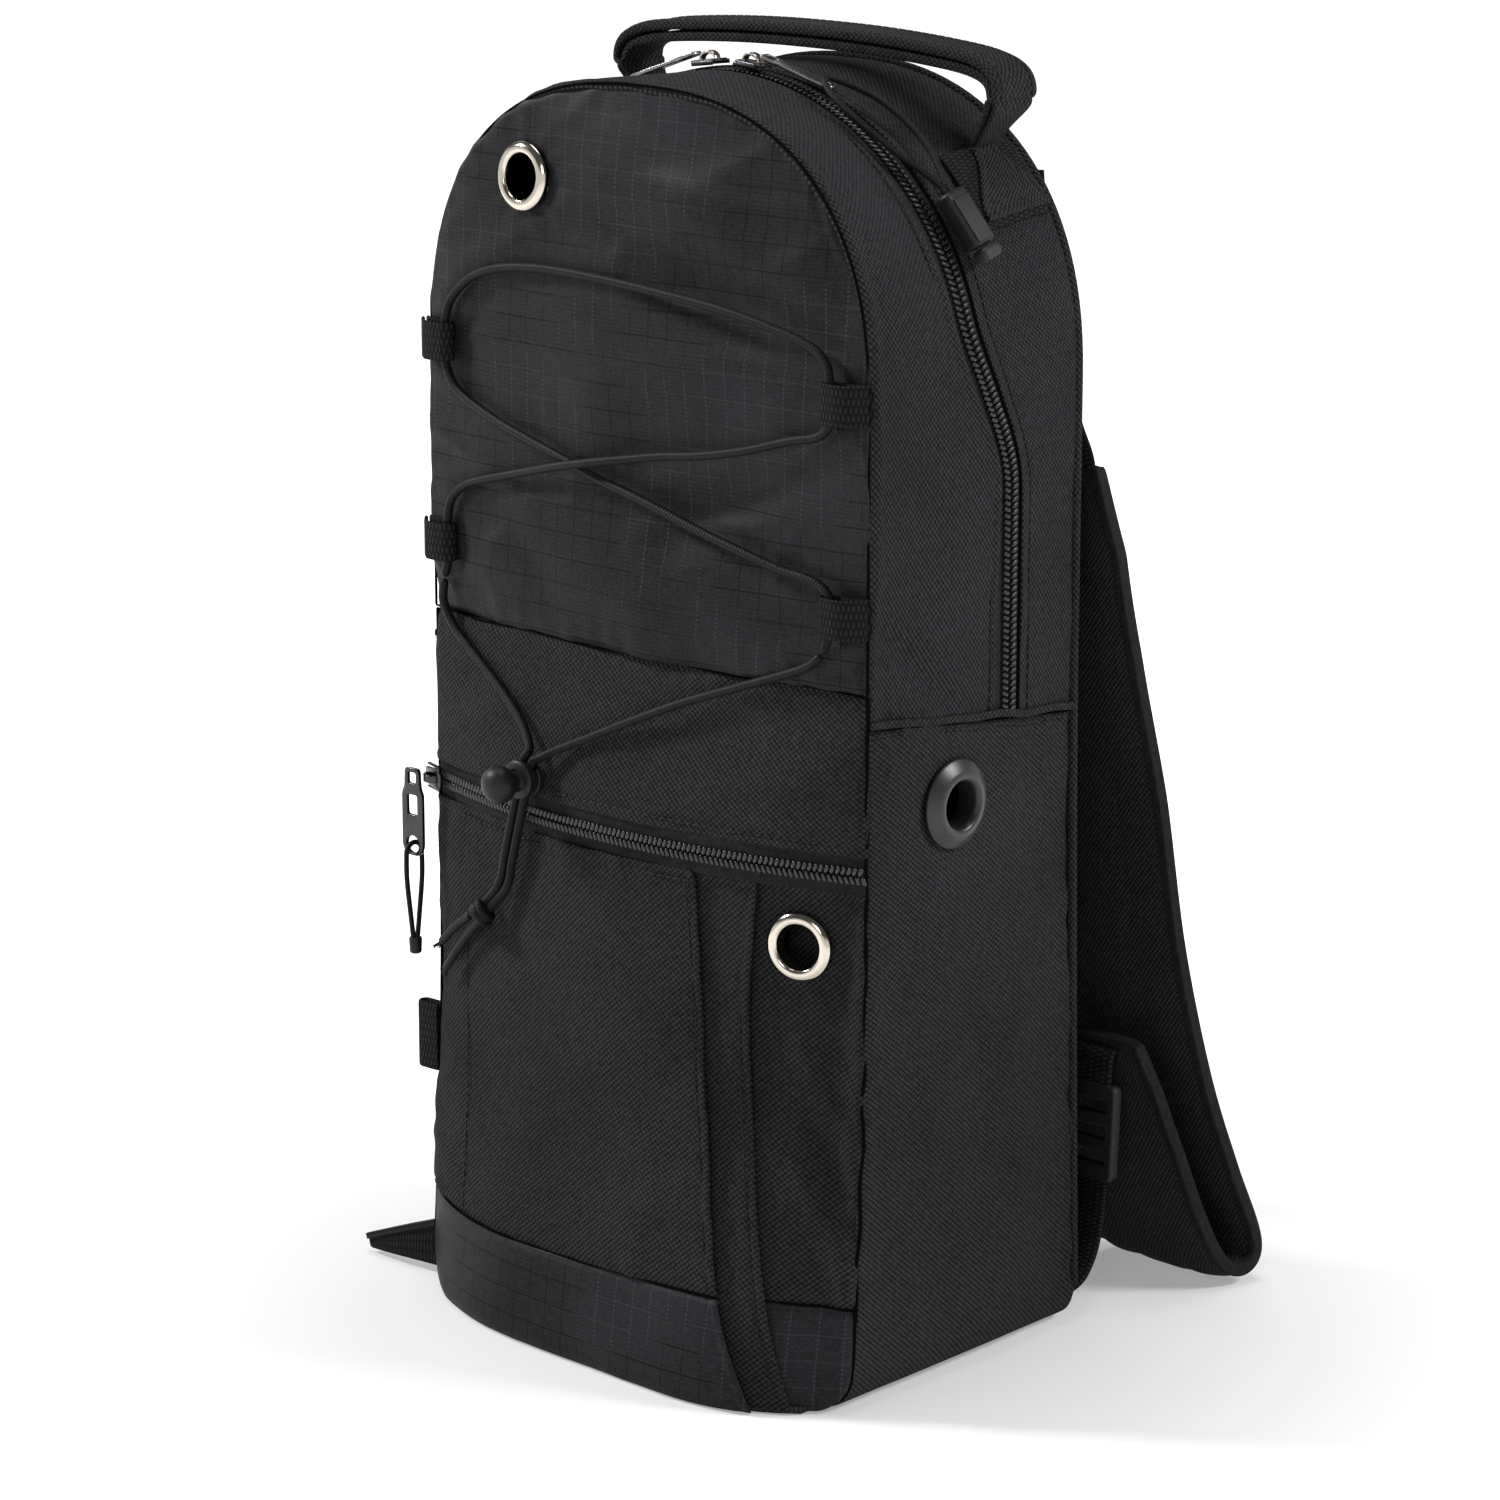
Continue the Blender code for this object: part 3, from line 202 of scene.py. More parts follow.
def side_point(y, z, hand=1, out=0.0):
    fullness = sin(pi * min(1.0, max(0.0, (y - FRONT_SEAM_Y) / (BACK_SEAM_Y - FRONT_SEAM_Y))))
    return Vector((hand * (front_half_width(z) + SIDE_BULGE * fullness + out), y, z))


# The share of the strip on each side that is straight, below the arch.
STRAIGHT = 0.2


def strip_point(p, y, low_z, out=0.0):
    """A point of the arched strip: p is 0 at low_z on the right, 0.5 at the top and 1 on the left."""
    if p < STRAIGHT:
        return side_point(y, lerp(low_z, SPRING_Z, p / STRAIGHT), 1, out)
    if p > 1 - STRAIGHT:
        return side_point(y, lerp(low_z, SPRING_Z, (1 - p) / STRAIGHT), -1, out)
    return arch_point(180 * (p - STRAIGHT) / (1 - 2 * STRAIGHT), y, out)


def side_seam(y):
    return lerp(SIDE_SEAM_FRONT_Z, SIDE_SEAM_BACK_Z, (y - FRONT_SEAM_Y) / (BACK_SEAM_Y - FRONT_SEAM_Y))


def floor_edge(x, floor_z):
    inside = abs(x) - (HALF_WIDTH - CORNER_R)
    if inside <= 0:
        return floor_z
    return max(floor_z, CORNER_R - sqrt(max(0.0, CORNER_R**2 - inside**2)))


def arch_height(x, squareness):
    share = min(1.0, abs(x) / HALF_WIDTH)
    return SPRING_Z + ARCH_RISE * (1 - share**squareness) ** (1 / squareness)


def on_arch(turn, out, y=ZIP_ARCH_Y):
    """A point over the zipper's circle, with turn counted from the top towards the right."""
    radius = HALF_WIDTH + out
    angle = radians(turn)
    drop = HALF_WIDTH - ARCH_RISE
    return Vector((radius * sin(angle), y, SPRING_Z + radius * cos(angle) - drop))


def through(points, steps):
    """Points of a smooth curve through a route's own points (Catmull-Rom)."""
    points = [Vector(p) for p in points]
    ends = [points[0] * 2 - points[1], *points, points[-1] * 2 - points[-2]]
    found = []
    for a, b, c, d in zip(ends, ends[1:], ends[2:], ends[3:]):
        for k in range(steps):
            t = k / steps
            straight = 2 * b + (c - a) * t
            bent = straight + (2 * a - 5 * b + 4 * c - d) * t**2
            found.append(0.5 * (bent + (3 * b - a - 3 * c + d) * t**3))
    found.append(points[-1].copy())
    return found


def read_row(values, place):
    """A value between two neighbours of a row, at a fractional place."""
    low = min(int(place), len(values) - 2)
    return lerp(values[low], values[low + 1], place - low)


# ---------------------------------------------------------------- materials

PALE = (0.52, 0.52, 0.52)


class Nodes:
    """A small helper that builds a material's node tree."""

    def __init__(self, name, colour, roughness, metallic=0.0, **fixed):
        self.material = bpy.data.materials.new(name)
        self.material.use_nodes = True
        self.tree = self.material.node_tree
        self.shader = self.tree.nodes["Principled BSDF"]
        self.set("Base Color", (*colour, 1))
        self.set("Roughness", roughness)
        self.set("Metallic", metallic)
        for socket, value in fixed.items():
            self.set(socket.replace("_", " "), value)

    def set(self, socket, value):
        self.shader.inputs[socket].default_value = value

    def link(self, source, target):
        self.tree.links.new(source, target)

    def math(self, operation, a, b=None, c=None):
        node = self.tree.nodes.new("ShaderNodeMath")
        node.operation = operation
        for slot_index, value in enumerate((a, b, c)):
            if value is None:
                continue
            if isinstance(value, (int, float)):
                node.inputs[slot_index].default_value = value
            else:
                self.link(value, node.inputs[slot_index])
        return node.outputs[0]

    def times(self, value, factor, plus=None):
        return self.math("MULTIPLY" if plus is None else "MULTIPLY_ADD", value, factor, plus)

    def uv(self):
        """The cloth's own coordinates, in millimetres across and along."""
        split = self.tree.nodes.new("ShaderNodeSeparateXYZ")
        self.link(self.tree.nodes.new("ShaderNodeUVMap").outputs[0], split.inputs[0])
        return split.outputs[0], split.outputs[1]

    def noise(self, scale, detail=2.0, stretch=(1, 1, 1)):
        node = self.tree.nodes.new("ShaderNodeTexNoise")
        node.inputs["Scale"].default_value = scale
        node.inputs["Detail"].default_value = detail
        mapping = self.tree.nodes.new("ShaderNodeMapping")
        mapping.inputs["Scale"].default_value = stretch
        self.link(self.tree.nodes.new("ShaderNodeTexCoord").outputs["Object"], mapping.inputs[0])
        self.link(mapping.outputs[0], node.inputs["Vector"])
        return node.outputs[0]

    def colours(self, share, low, high):
        """The base colour runs from low to high as share goes from 0 to 1."""
        mix = self.tree.nodes.new("ShaderNodeMix")
        mix.data_type = "RGBA"
        self.link(share, mix.inputs[0])
        mix.inputs[6].default_value = (*low, 1)
        mix.inputs[7].default_value = (*high, 1)
        self.link(mix.outputs[2], self.shader.inputs["Base Color"])

    def gloss(self, value, low, high):
        """The roughness runs from low to high as value goes from 0 to 1."""
        self.link(self.times(value, high - low, low), self.shader.inputs["Roughness"])

    def bump(self, height, distance_mm, strength=1.0):
        node = self.tree.nodes.new("ShaderNodeBump")
        node.inputs["Strength"].default_value = strength
        node.inputs["Distance"].default_value = distance_mm * MM
        self.link(height, node.inputs["Height"])
        self.link(node.outputs[0], self.shader.inputs["Normal"])

    def wave(self, value, pitch, phase=0.0):
        """A sine from 0 to 1 that repeats every pitch millimetres."""
        turned = self.times(value, 2 * pi / pitch, phase)
        return self.times(self.math("SINE", turned), 0.5, 0.5)


def woven(name, colour, pitch, depth, roughness=0.82, contrast=0.8, slant=1.2):
    """Oxford weave: raised dots on two crossing diagonals, with uneven yarn and a little lint."""
    made = Nodes(name, colour, roughness, Specular_IOR_Level=0.05)
    u, v = made.uv()
    rise = made.math("POWER", made.wave(made.times(v, slant, u), pitch), 0.6)
    fall = made.wave(made.times(v, -slant, u), pitch, 0.6)
    dots = made.times(rise, 0.62, made.times(fall, 0.38))
    dots = made.times(dots, made.times(dots, 1.15, 0.02))
    yarn = made.noise(700, 2)
    height = made.times(yarn, 0.4, dots)
    broad = made.noise(14, 3)
    share = made.times(height, made.times(broad, 1.0, 0.3))
    share = made.times(share, made.times(made.noise(620, 2), 1.5, 0.25))
    low = tuple(c * (1 - contrast) for c in colour)
    high = tuple(c * (1 + 5.6 * contrast) for c in colour)
    made.colours(share, low, high)
    made.gloss(broad, roughness - 0.08, roughness + 0.08)
    made.bump(height, depth)
    return made.material


def ripstop(name, colour):
    """Fine plain cloth with a grid of thicker threads: dark lines across, light dashed ones down."""
    made = Nodes(name, colour, 0.5, Specular_IOR_Level=0.1)
    u, v = made.uv()
    fine = made.times(made.wave(u, 0.62), made.wave(v, 0.62))

    def line(value, spacing, width):
        place = made.math("FRACT", made.times(value, 1 / spacing))
        return made.math("LESS_THAN", place, width / spacing)

    # Where the light catches the thick threads they show bright, and elsewhere as thin dark lines.
    broad = made.noise(11, 2)
    caught = made.math("SUBTRACT", made.noise(17, 1), 0.47)
    caught = made.math("MINIMUM", made.math("MAXIMUM", made.times(caught, 9.0), 0.0), 1.0)
    down = line(u, 7.9, 0.5)
    dashes = line(v, 1.5, 0.85)
    across = line(v, 8.6, 0.45)
    yarn = made.noise(900, 2)
    # The broad blotches in the colour are partly uneven tone and partly painted sheen and painted shade of
    # soft folds.
    share = made.times(fine, 0.12, made.times(broad, 0.9, -0.34))
    share = made.times(yarn, 0.2, share)
    share = made.times(made.noise(560, 2), 0.4, made.math("SUBTRACT", share, 0.13))
    grain = made.times(made.wave(made.math("ADD", u, v), 1.7), made.wave(v, 1.35))
    share = made.times(grain, 0.2, made.math("SUBTRACT", share, 0.058))
    dotted = made.times(made.times(down, dashes), caught)
    share = made.times(dotted, 1.15, share)
    lit_across = made.times(across, made.times(caught, 0.62, -0.36))
    share = made.math("ADD", share, lit_across)
    unlit = made.times(down, made.math("SUBTRACT", 1.0, caught))
    share = made.math("MAXIMUM", made.times(unlit, -0.2, share), 0.0)
    made.colours(share, tuple(c * 0.1 for c in colour), tuple(c * 5.0 for c in colour))
    height = made.math("ADD", made.times(fine, 0.35), made.times(yarn, 0.3))
    made.bump(made.math("SUBTRACT", height, made.math("MAXIMUM", across, down)), 0.12, 0.8)
    made.gloss(broad, 0.44, 0.6)
    return made.material


def webbed(name, colour, rib=1.5, column=2.6, depth=0.35):
    """Coarse webbing: short ribs across, broken into columns along the band."""
    made = Nodes(name, colour, 0.75, Specular_IOR_Level=0.06)
    u, v = made.uv()
    half_step = made.times(made.math("FLOOR", made.times(v, 1 / column)), pi)
    turned = made.times(u, 2 * pi / rib, half_step)
    ribs = made.times(made.math("SINE", turned), 0.5, 0.5)
    columns = made.wave(v, column, -pi / 2)
    lint = made.noise(700, 2)
    height = made.times(ribs, made.math("POWER", columns, 0.4))
    height = made.times(lint, 0.35, height)
    made.colours(height, tuple(c * 0.3 for c in colour), tuple(c * 3.4 for c in colour))
    made.bump(height, depth)
    return made.material


def braided(name, colour, pitch, turns_width):
    """Braided cord: strands that cross in a fine diamond."""
    made = Nodes(name, colour, 0.52, Specular_IOR_Level=0.12)
    u, v = made.uv()
    around = made.times(v, pitch / turns_width)
    one = made.wave(made.math("ADD", u, around), pitch)
    two = made.wave(made.math("SUBTRACT", u, around), pitch)
    height = made.math("MAXIMUM", one, two)
    made.colours(height, tuple(c * 0.6 for c in colour), tuple(c * 1.5 for c in colour))
    made.bump(height, 0.12, 0.8)
    return made.material


def moulded(name, colour, roughness, grain=500, depth=0.05, **fixed):
    """Moulded plastic or rubber with a fine grain and slightly uneven gloss."""
    made = Nodes(name, colour, roughness, **fixed)
    grains = made.noise(grain, 3)
    made.bump(grains, depth, 0.6)
    made.gloss(made.noise(40, 3), roughness - 0.08, roughness + 0.1)
    return made.material


def metal(name, colour, roughness):
    """Plated metal: handling marks in the gloss and faint scratches."""
    made = Nodes(name, colour, roughness, 1.0)
    made.gloss(made.noise(120, 4, (1, 1, 3)), max(0.03, roughness - 0.08), roughness + 0.12)
    made.bump(made.noise(260, 3), 0.02, 0.5)
    return made.material


TWILL = woven("oxford_cloth", (0.0062, 0.0062, 0.0068), 2.2, 0.3)
FINE_TWILL = woven("pocket_cloth", (0.0057, 0.0057, 0.0062), 2.15, 0.26, slant=-1.1)
PAD_CLOTH = woven("pad_cloth", (0.0054, 0.0054, 0.006), 2.1, 0.26)
BACK_MESH = woven("back_mesh", (0.005, 0.005, 0.0054), 2.4, 0.5, 0.9)
LINING = woven("lining", (0.012, 0.012, 0.013), 0.7, 0.06, 0.7, 0.3)
RIPSTOP = ripstop("ripstop_cloth", (0.0062, 0.00595, 0.0069))
# The same ripstop made brighter for the low band: painted light, where the low cloth looks lighter under the
# lamps.
BAND_RIPSTOP = ripstop("band_ripstop_painted_lighter", (0.0072, 0.0069, 0.0081))
WEBBING = webbed("webbing", (0.0052, 0.0052, 0.0056))
PAD_BINDING = woven("pad_binding", (0.0048, 0.0048, 0.0053), 0.9, 0.12)
BINDING = webbed("binding", (0.009, 0.009, 0.0095), 0.9, 1.6, 0.15)
LACE = braided("braid", (0.0042, 0.0042, 0.0046), 1.1, 2 * pi * LACE_R / 4)
THREAD = Nodes("thread", (0.010, 0.010, 0.0105), 0.6, Specular_IOR_Level=0.15).material
# Near-black cord laid along the seams: painted shade for their grooves.
SHADE = Nodes("painted_seam_shade", (0.0032, 0.0032, 0.0034), 0.9, Specular_IOR_Level=0.0).material
NICKEL = metal("nickel_plate", (0.53, 0.485, 0.42), 0.1)
GUNMETAL = metal("gunmetal_plate", (0.2, 0.195, 0.19), 0.2)
DARK_METAL = metal("black_nickel", (0.045, 0.045, 0.048), 0.22)
RUBBER = moulded("grommet_rubber", (0.012, 0.0115, 0.014), 0.34, 300, 0.04, Specular_IOR_Level=0.4)
PLASTIC = moulded("black_plastic", (0.0075, 0.0075, 0.008), 0.46, Specular_IOR_Level=0.22)
GREY_PLASTIC = moulded("grey_plastic", (0.0095, 0.0096, 0.0105), 0.5, Specular_IOR_Level=0.22)
SOFT_GREY = moulded("soft_grey_plastic", (0.015, 0.015, 0.016), 0.55, Specular_IOR_Level=0.25)
COIL = moulded("zipper_coil", (0.0035, 0.0035, 0.004), 0.34, 200, 0.02, Specular_IOR_Level=0.32)
# A lighter copy of the black coil for the pocket zipper: the lighter colour is painted highlight on its
# teeth, and the extra gloss is real.
BRIGHT_COIL = moulded("pocket_zipper_coil_painted_highlight", (0.009, 0.009, 0.0095), 0.3, 200, 0.02, Specular_IOR_Level=0.5)
TAPE = woven("zipper_tape", (0.0065, 0.0065, 0.007), 0.9, 0.1, 0.8, 0.5)
BOARD = moulded("base_board_plastic", (0.02, 0.02, 0.021), 0.6)

# ---------------------------------------------------------------- mesh builders


def new_object(name, data):
    obj = bpy.data.objects.new(name, data)
    bpy.context.scene.collection.objects.link(obj)
    return obj


def mesh_object(name, points, faces, finish, coords=None, angle=None):
    """An object from points in millimetres, with each point's cloth coordinates as its UV."""
    mesh = bpy.data.meshes.new(name)
    mesh.from_pydata([tuple(p) for p in np.asarray(points) * MM], [], faces)
    mesh.shade_smooth()
    if angle:
        mesh.set_sharp_from_angle(angle=radians(angle))
    if coords is not None:
        layer = mesh.uv_layers.new(name="cloth")
        index = np.empty(len(mesh.loops), np.int32)
        mesh.loops.foreach_get("vertex_index", index)
        layer.data.foreach_set("uv", np.asarray(coords, np.float32)[index].ravel())
    mesh.materials.append(finish)
    return new_object(name, mesh)


def modify(obj, kind, **settings):
    modifier = obj.modifiers.new(kind.lower(), kind)
    for key, value in settings.items():
        setattr(modifier, key, value)
    return modifier


def finer(obj):
    modify(obj, "SUBSURF", levels=1, render_levels=1)


def stand_for(obj, body, slot, *nodes):
    """The piece rides on a body, when one is named, and stands for CAD nodes, which it hides."""
    if isinstance(body, str):
        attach(obj, body)
    if nodes:
        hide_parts(*nodes)
    return obj


def fold_with_lid(obj):
    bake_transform(obj)


def stations(count, length):
    """Shares from 0 to 1, evenly spaced, with closer ones beside both ends so that a seam can turn in."""
    near = [d / length for d in (0.7, 1.6, 2.6, 3.5, 4.6, 6.0) if d < length / 5]
    inner = np.linspace(0, 1, count + 1)
    reach = near[-1] * 1.25 if near else 0.0
    keep = [t for t in inner if reach < t < 1 - reach]
    return sorted({0.0, 1.0, *near, *(1 - t for t in near), *keep})


def bell(distance, width):
    """1 where the distance is 0, falling away over the width."""
    return np.exp(-((distance / width) ** 2))


def noise_field(points, scale, seed):
    """Smooth noise at each point of a grid. scale is the size of its waves in mm along X, Y and Z."""
    scaled = points.reshape(-1, 3) / np.array(scale) + seed * 7.31
    return np.array([noise.noise(p) for p in scaled]).reshape(points.shape[:2])


class Grid:
    """A cloth panel's points, which wrinkles and seams then shape."""

    def __init__(self, place, across, along, width, height, uv=None):
        self.us = stations(across, width)
        self.vs = stations(along, height)
        self.points = np.array([[place(u, v) for u in self.us] for v in self.vs], float)
        right = np.gradient(self.points, axis=1)
        up = np.gradient(self.points, axis=0)
        normals = np.cross(right, up)
        normals /= np.maximum(np.linalg.norm(normals, axis=2, keepdims=True), 1e-9)
        away = ((self.points - np.array(BAG_MIDDLE)) * normals).sum()
        self.turned_in = away < 0
        self.normals = -normals if self.turned_in else normals
        across_mm = np.linalg.norm(np.diff(self.points, axis=1), axis=2)
        along_mm = np.linalg.norm(np.diff(self.points, axis=0), axis=2)
        zero_column = np.zeros((len(self.vs), 1))
        zero_row = np.zeros((1, len(self.us)))
        self.x = np.concatenate([zero_column, np.cumsum(across_mm, axis=1)], axis=1)
        self.z = np.concatenate([zero_row, np.cumsum(along_mm, axis=0)], axis=0)
        self.left = self.x
        self.right = self.x[:, -1:] - self.x
        self.bottom = self.z
        self.top = self.z[-1:, :] - self.z
        self.coords = uv(self.points) if uv else np.stack([self.x, self.z], axis=2)
        self.relief = np.zeros(self.x.shape)

    def tuck(self, edges, depth=1.1, width=2.0):
        """Seams pull the cloth in along the named edges."""
        for edge in edges:
            self.relief -= depth * bell(getattr(self, edge), width)

    def pucker(self, edges, depth=0.45, pitch=9.0, seed=0.0, reach=8.0):
        """Short gathers that start at a seam and fade into the panel."""
        for edge in edges:
            distance = getattr(self, edge)
            run = self.z if edge in ("left", "right") else self.x
            uneven = noise_field(self.points, (24, 24, 24), seed + 3)
            waves = np.sin(run * 2 * pi / pitch + 5 * uneven + seed)
            self.relief += depth * waves * bell(distance, reach) * (0.55 + uneven)

    def wrinkle(self, depth, size, seed, sharp=1.0):
        """Broad unevenness; sharp above 1 gathers it into creases."""
        field = noise_field(self.points, size, seed)
        if sharp > 1:
            field = (1 - np.abs(field) * 1.6).clip(0, 1) ** sharp - 0.4
        self.relief += depth * field

    def crease(self, start, end, height, width, bend=0.0):
        """One fold between two points of the panel, in its own (across, along) coordinates."""
        a, b = np.array(start, float), np.array(end, float)
        run = b - a
        length = np.linalg.norm(run)
        x = self.coords[..., 0] - a[0]
        z = self.coords[..., 1] - a[1]
        share = (x * run[0] + z * run[1]) / length**2
        aside = (x * run[1] - z * run[0]) / length - bend * np.sin(np.pi * share.clip(0, 1))
        fade = np.sin(np.pi * share.clip(0, 1)) ** 0.7
        self.relief += height * fade * bell(aside, width)

    def creases(self, *rows):
        for row in rows:
            self.crease(*row)

    def hem(self, edges, inset=3.5, height=0.45):
        """A folded edge with the groove of its stitch line."""
        for edge in edges:
            distance = getattr(self, edge)
            self.relief += height * bell(distance - 1.6, 1.5)
            self.relief -= 0.35 * bell(distance - inset, 0.9)

    def press(self, route, depth, width, most=None):
        """Something along a route presses the cloth in. Beside it the cloth stands no higher than most."""
        route = np.array([tuple(p) for p in route])
        nearest = np.full(self.x.shape, 1e9)
        for point in route:
            nearest = np.minimum(nearest, np.linalg.norm(self.points - point, axis=2))
        near = bell(nearest, width)
        if most is not None:
            high = np.maximum(0.0, self.relief - most)
            self.relief -= high * np.clip(near * 2.2, 0, 1)
        self.relief -= depth * near

    def gather_round(self, centre, radius, depth):
        """Creases that run out from an eyelet."""
        count, reach = 13, 9.0
        away = self.points - np.array(centre)
        distance = np.linalg.norm(away, axis=2)
        angle = np.arctan2(away[..., 2], away[..., 0] + away[..., 1])
        fade = bell(distance - radius, reach) * (distance > radius * 0.6)
        self.relief += depth * np.sin(angle * count + 2.0 * np.sin(angle * 2)) * fade - depth * 1.4 * fade

    def object(self, name, finish, inner=None, thickness=CLOTH_T, holes=()):
        points = self.points + self.normals * self.relief[..., None]
        rows, columns = self.x.shape
        faces = []
        for j in range(rows - 1):
            for i in range(columns - 1):
                a = j * columns + i
                middle = Vector(self.points[j : j + 2, i : i + 2].mean(axis=(0, 1)))
                if any((middle - centre).length < radius for centre, radius in holes):
                    continue
                face = (a, a + 1, a + columns + 1, a + columns)
                faces.append(face[::-1] if self.turned_in else face)
        obj = mesh_object(name, points.reshape(-1, 3), faces, finish, self.coords.reshape(-1, 2))
        solid = modify(obj, "SOLIDIFY", thickness=thickness * MM, offset=-1.0)
        if inner:
            obj.data.materials.append(inner)
            solid.material_offset = 1
        finer(obj)
        return obj


def flat_xz(points):
    """Front cloth is cut flat, so its weave stays upright."""
    return points[..., (0, 2)]


def turning_frames(points):
    """Tangent, side and up along a route, carried on without twisting."""
    tangents = []
    last = len(points) - 1
    for i in range(len(points)):
        tangents.append((points[min(last, i + 1)] - points[max(0, i - 1)]).normalized())
    side = tangents[0].orthogonal().normalized()
    frames = []
    for tangent in tangents:
        side = (side - tangent * side.dot(tangent)).normalized()
        frames.append((tangent, side, tangent.cross(side)))
    return frames


# The turns, in radians, of the rings that round off a cord's end.
CORD_END = (0.25, 0.7, 1.1)


def tube(name, points, radius, finish, sides=12, steps=1):
    """A round cord with rounded ends. Its coordinates run along it and round it."""
    points = through(points, steps) if steps > 1 else [Vector(p) for p in points]
    frames = turning_frames(points)
    rings = []
    run = 0.0
    for i, (point, (tangent, side, up)) in enumerate(zip(points, frames)):
        run += (point - points[i - 1]).length if i else 0.0
        if i == 0:
            for a in CORD_END:
                rings.append((point - tangent * radius * cos(a), sin(a), side, up, run))
        rings.append((point, 1.0, side, up, run))
        if i == len(points) - 1:
            for a in reversed(CORD_END):
                rings.append((point + tangent * radius * cos(a), sin(a), side, up, run))
    verts, coords = [], []
    for centre, share, side, up, along in rings:
        for k in range(sides):
            angle = 2 * pi * k / sides
            verts.append(centre + (side * cos(angle) + up * sin(angle)) * radius * share)
            coords.append((along, angle * radius))
    faces = []
    for r in range(len(rings) - 1):
        for k in range(sides):
            a, b = r * sides + k, r * sides + (k + 1) % sides
            faces.append((a, b, b + sides, a + sides))
    faces.append(tuple(reversed(range(sides))))
    faces.append(tuple(range((len(rings) - 1) * sides, len(rings) * sides)))
    return mesh_object(name, [tuple(v) for v in verts], faces, finish, coords)


# A webbing's section, as shares of half its width and half its depth, with rounded corners.
SECTION_CORNER = [(1.0, 0.35), (0.97, 0.8), (0.9, 1.0), (0.6, 1.0), (0.3, 1.0)]
SECTION_TOP = SECTION_CORNER + [(0.0, 1.0)] + [(-a, b) for a, b in reversed(SECTION_CORNER)]
BAND_SECTION = SECTION_TOP + [(-a, -b) for a, b in SECTION_TOP]


def band(name, points, side, width, depth, finish, section=BAND_SECTION, swell=None):
    """A strap of webbing along a route. side is the direction of its width, or one for each point."""
    verts, coords = [], []
    last = len(points) - 1
    run = 0.0
    wide, deep = (value[len(value) // 2] if isinstance(value, list) else value for value in (width, depth))
    girth = [0.0]
    for (a, b), (c, d) in zip(section, section[1:]):
        girth.append(girth[-1] + hypot((c - a) * wide / 2, (d - b) * deep / 2))
    for i, point in enumerate(points):
        run += (point - points[i - 1]).length if i else 0.0
        forward = (points[min(last, i + 1)] - points[max(0, i - 1)]).normalized()
        across = side[i] if isinstance(side, list) else side
        across = (across - forward * across.dot(forward)).normalized()
        up = across.cross(forward)
        half_w = (width[i] if isinstance(width, list) else width) / 2
        half_t = (depth[i] if isinstance(depth, list) else depth) / 2
        for (a, b), around in zip(section, girth):
            lift = swell(i / last, a, b) if swell else 0.0
            verts.append(point + across * (a * half_w) + up * (b * half_t + lift))
            coords.append((run, around))
    count = len(section)
    faces = []
    for r in range(last):
        for k in range(count):
            a, b = r * count + k, r * count + (k + 1) % count
            faces.append((a, a + count, b + count, b))
    faces.append(tuple(range(count)))
    faces.append(tuple(reversed(range(last * count, (last + 1) * count))))
    return mesh_object(name, [tuple(v) for v in verts], faces, finish, coords, 50)


def turned(name, profile, place, direction, finish, steps=64, closed=True):
    """A profile of (radius, height) turned round an axis. An open one starts and ends on the axis."""
    basis = direction.to_track_quat("Z", "Y").to_matrix()
    count = len(profile)
    verts = []
    for k in range(steps):
        angle = 2 * pi * k / steps
        for r, h in profile:
            verts.append(tuple(place + basis @ Vector((r * cos(angle), r * sin(angle), h))))
    faces = []
    for k in range(steps):
        a, b = k * count, ((k + 1) % steps) * count
        for j in range(count if closed else count - 1):
            n = (j + 1) % count
            faces.append((a + j, a + n, b + n, b + j))
    obj = mesh_object(name, verts, faces, finish, None, 35)
    if not closed:
        modify(obj, "WELD", merge_threshold=0.00001)
    return obj


def rounded(corners, radius, steps=4):
    """An outline with its corners rounded."""
    found = []
    corners = [Vector(c) for c in corners]
    for before, at, after in zip(corners[-1:] + corners[:-1], corners, corners[1:] + corners[:1]):
        come = (before - at).normalized()
        go = (after - at).normalized()
        reach = min(radius, (before - at).length * 0.49, (after - at).length * 0.49)
        start, end = at + come * reach, at + go * reach
        for k in range(steps + 1):
            t = k / steps
            found.append(start * (1 - t) ** 2 + at * 2 * t * (1 - t) + end * t**2)
    return found


def circle(radius, centre, steps):
    x, y = centre
    turns = [2 * pi * k / steps for k in range(steps)]
    return [Vector((x + radius * cos(a), y + radius * sin(a))) for a in turns]


def plate(name, outlines, thickness, place, basis, finish, bevel=0.25):
    """A flat part cut from sheet or moulded: an outline, and its holes, with softened edges."""
    curve = bpy.data.curves.new(name + "_line", "CURVE")
    curve.dimensions = "2D"
    curve.fill_mode = "BOTH"
    curve.extrude = (thickness / 2 - bevel) * MM
    curve.bevel_depth = bevel * MM
    curve.bevel_resolution = 2
    curve.offset = -bevel * MM
    for outline in outlines:
        spline = curve.splines.new("POLY")
        spline.points.add(len(outline) - 1)
        spline.use_cyclic_u = True
        for target, point in zip(spline.points, outline):
            target.co = (point.x * MM, point.y * MM, 0, 1)
    holder = new_object(name + "_line", curve)
    bpy.context.view_layer.update()
    mesh = bpy.data.meshes.new_from_object(holder.evaluated_get(bpy.context.evaluated_depsgraph_get()))
    bpy.data.objects.remove(holder)
    mesh.name = name
    layer = mesh.uv_layers.new(name="cloth") if not mesh.uv_layers else mesh.uv_layers[0]
    for loop, target in zip(mesh.loops, layer.data):
        target.uv = mesh.vertices[loop.vertex_index].co.xy / MM
    mesh.transform(Matrix.Translation(place * MM) @ basis.to_4x4())
    mesh.materials.clear()
    mesh.materials.append(finish)
    mesh.shade_smooth()
    mesh.set_sharp_from_angle(angle=radians(40))
    obj = new_object(name, mesh)
    modify(obj, "WELD", merge_threshold=0.000005)
    return obj


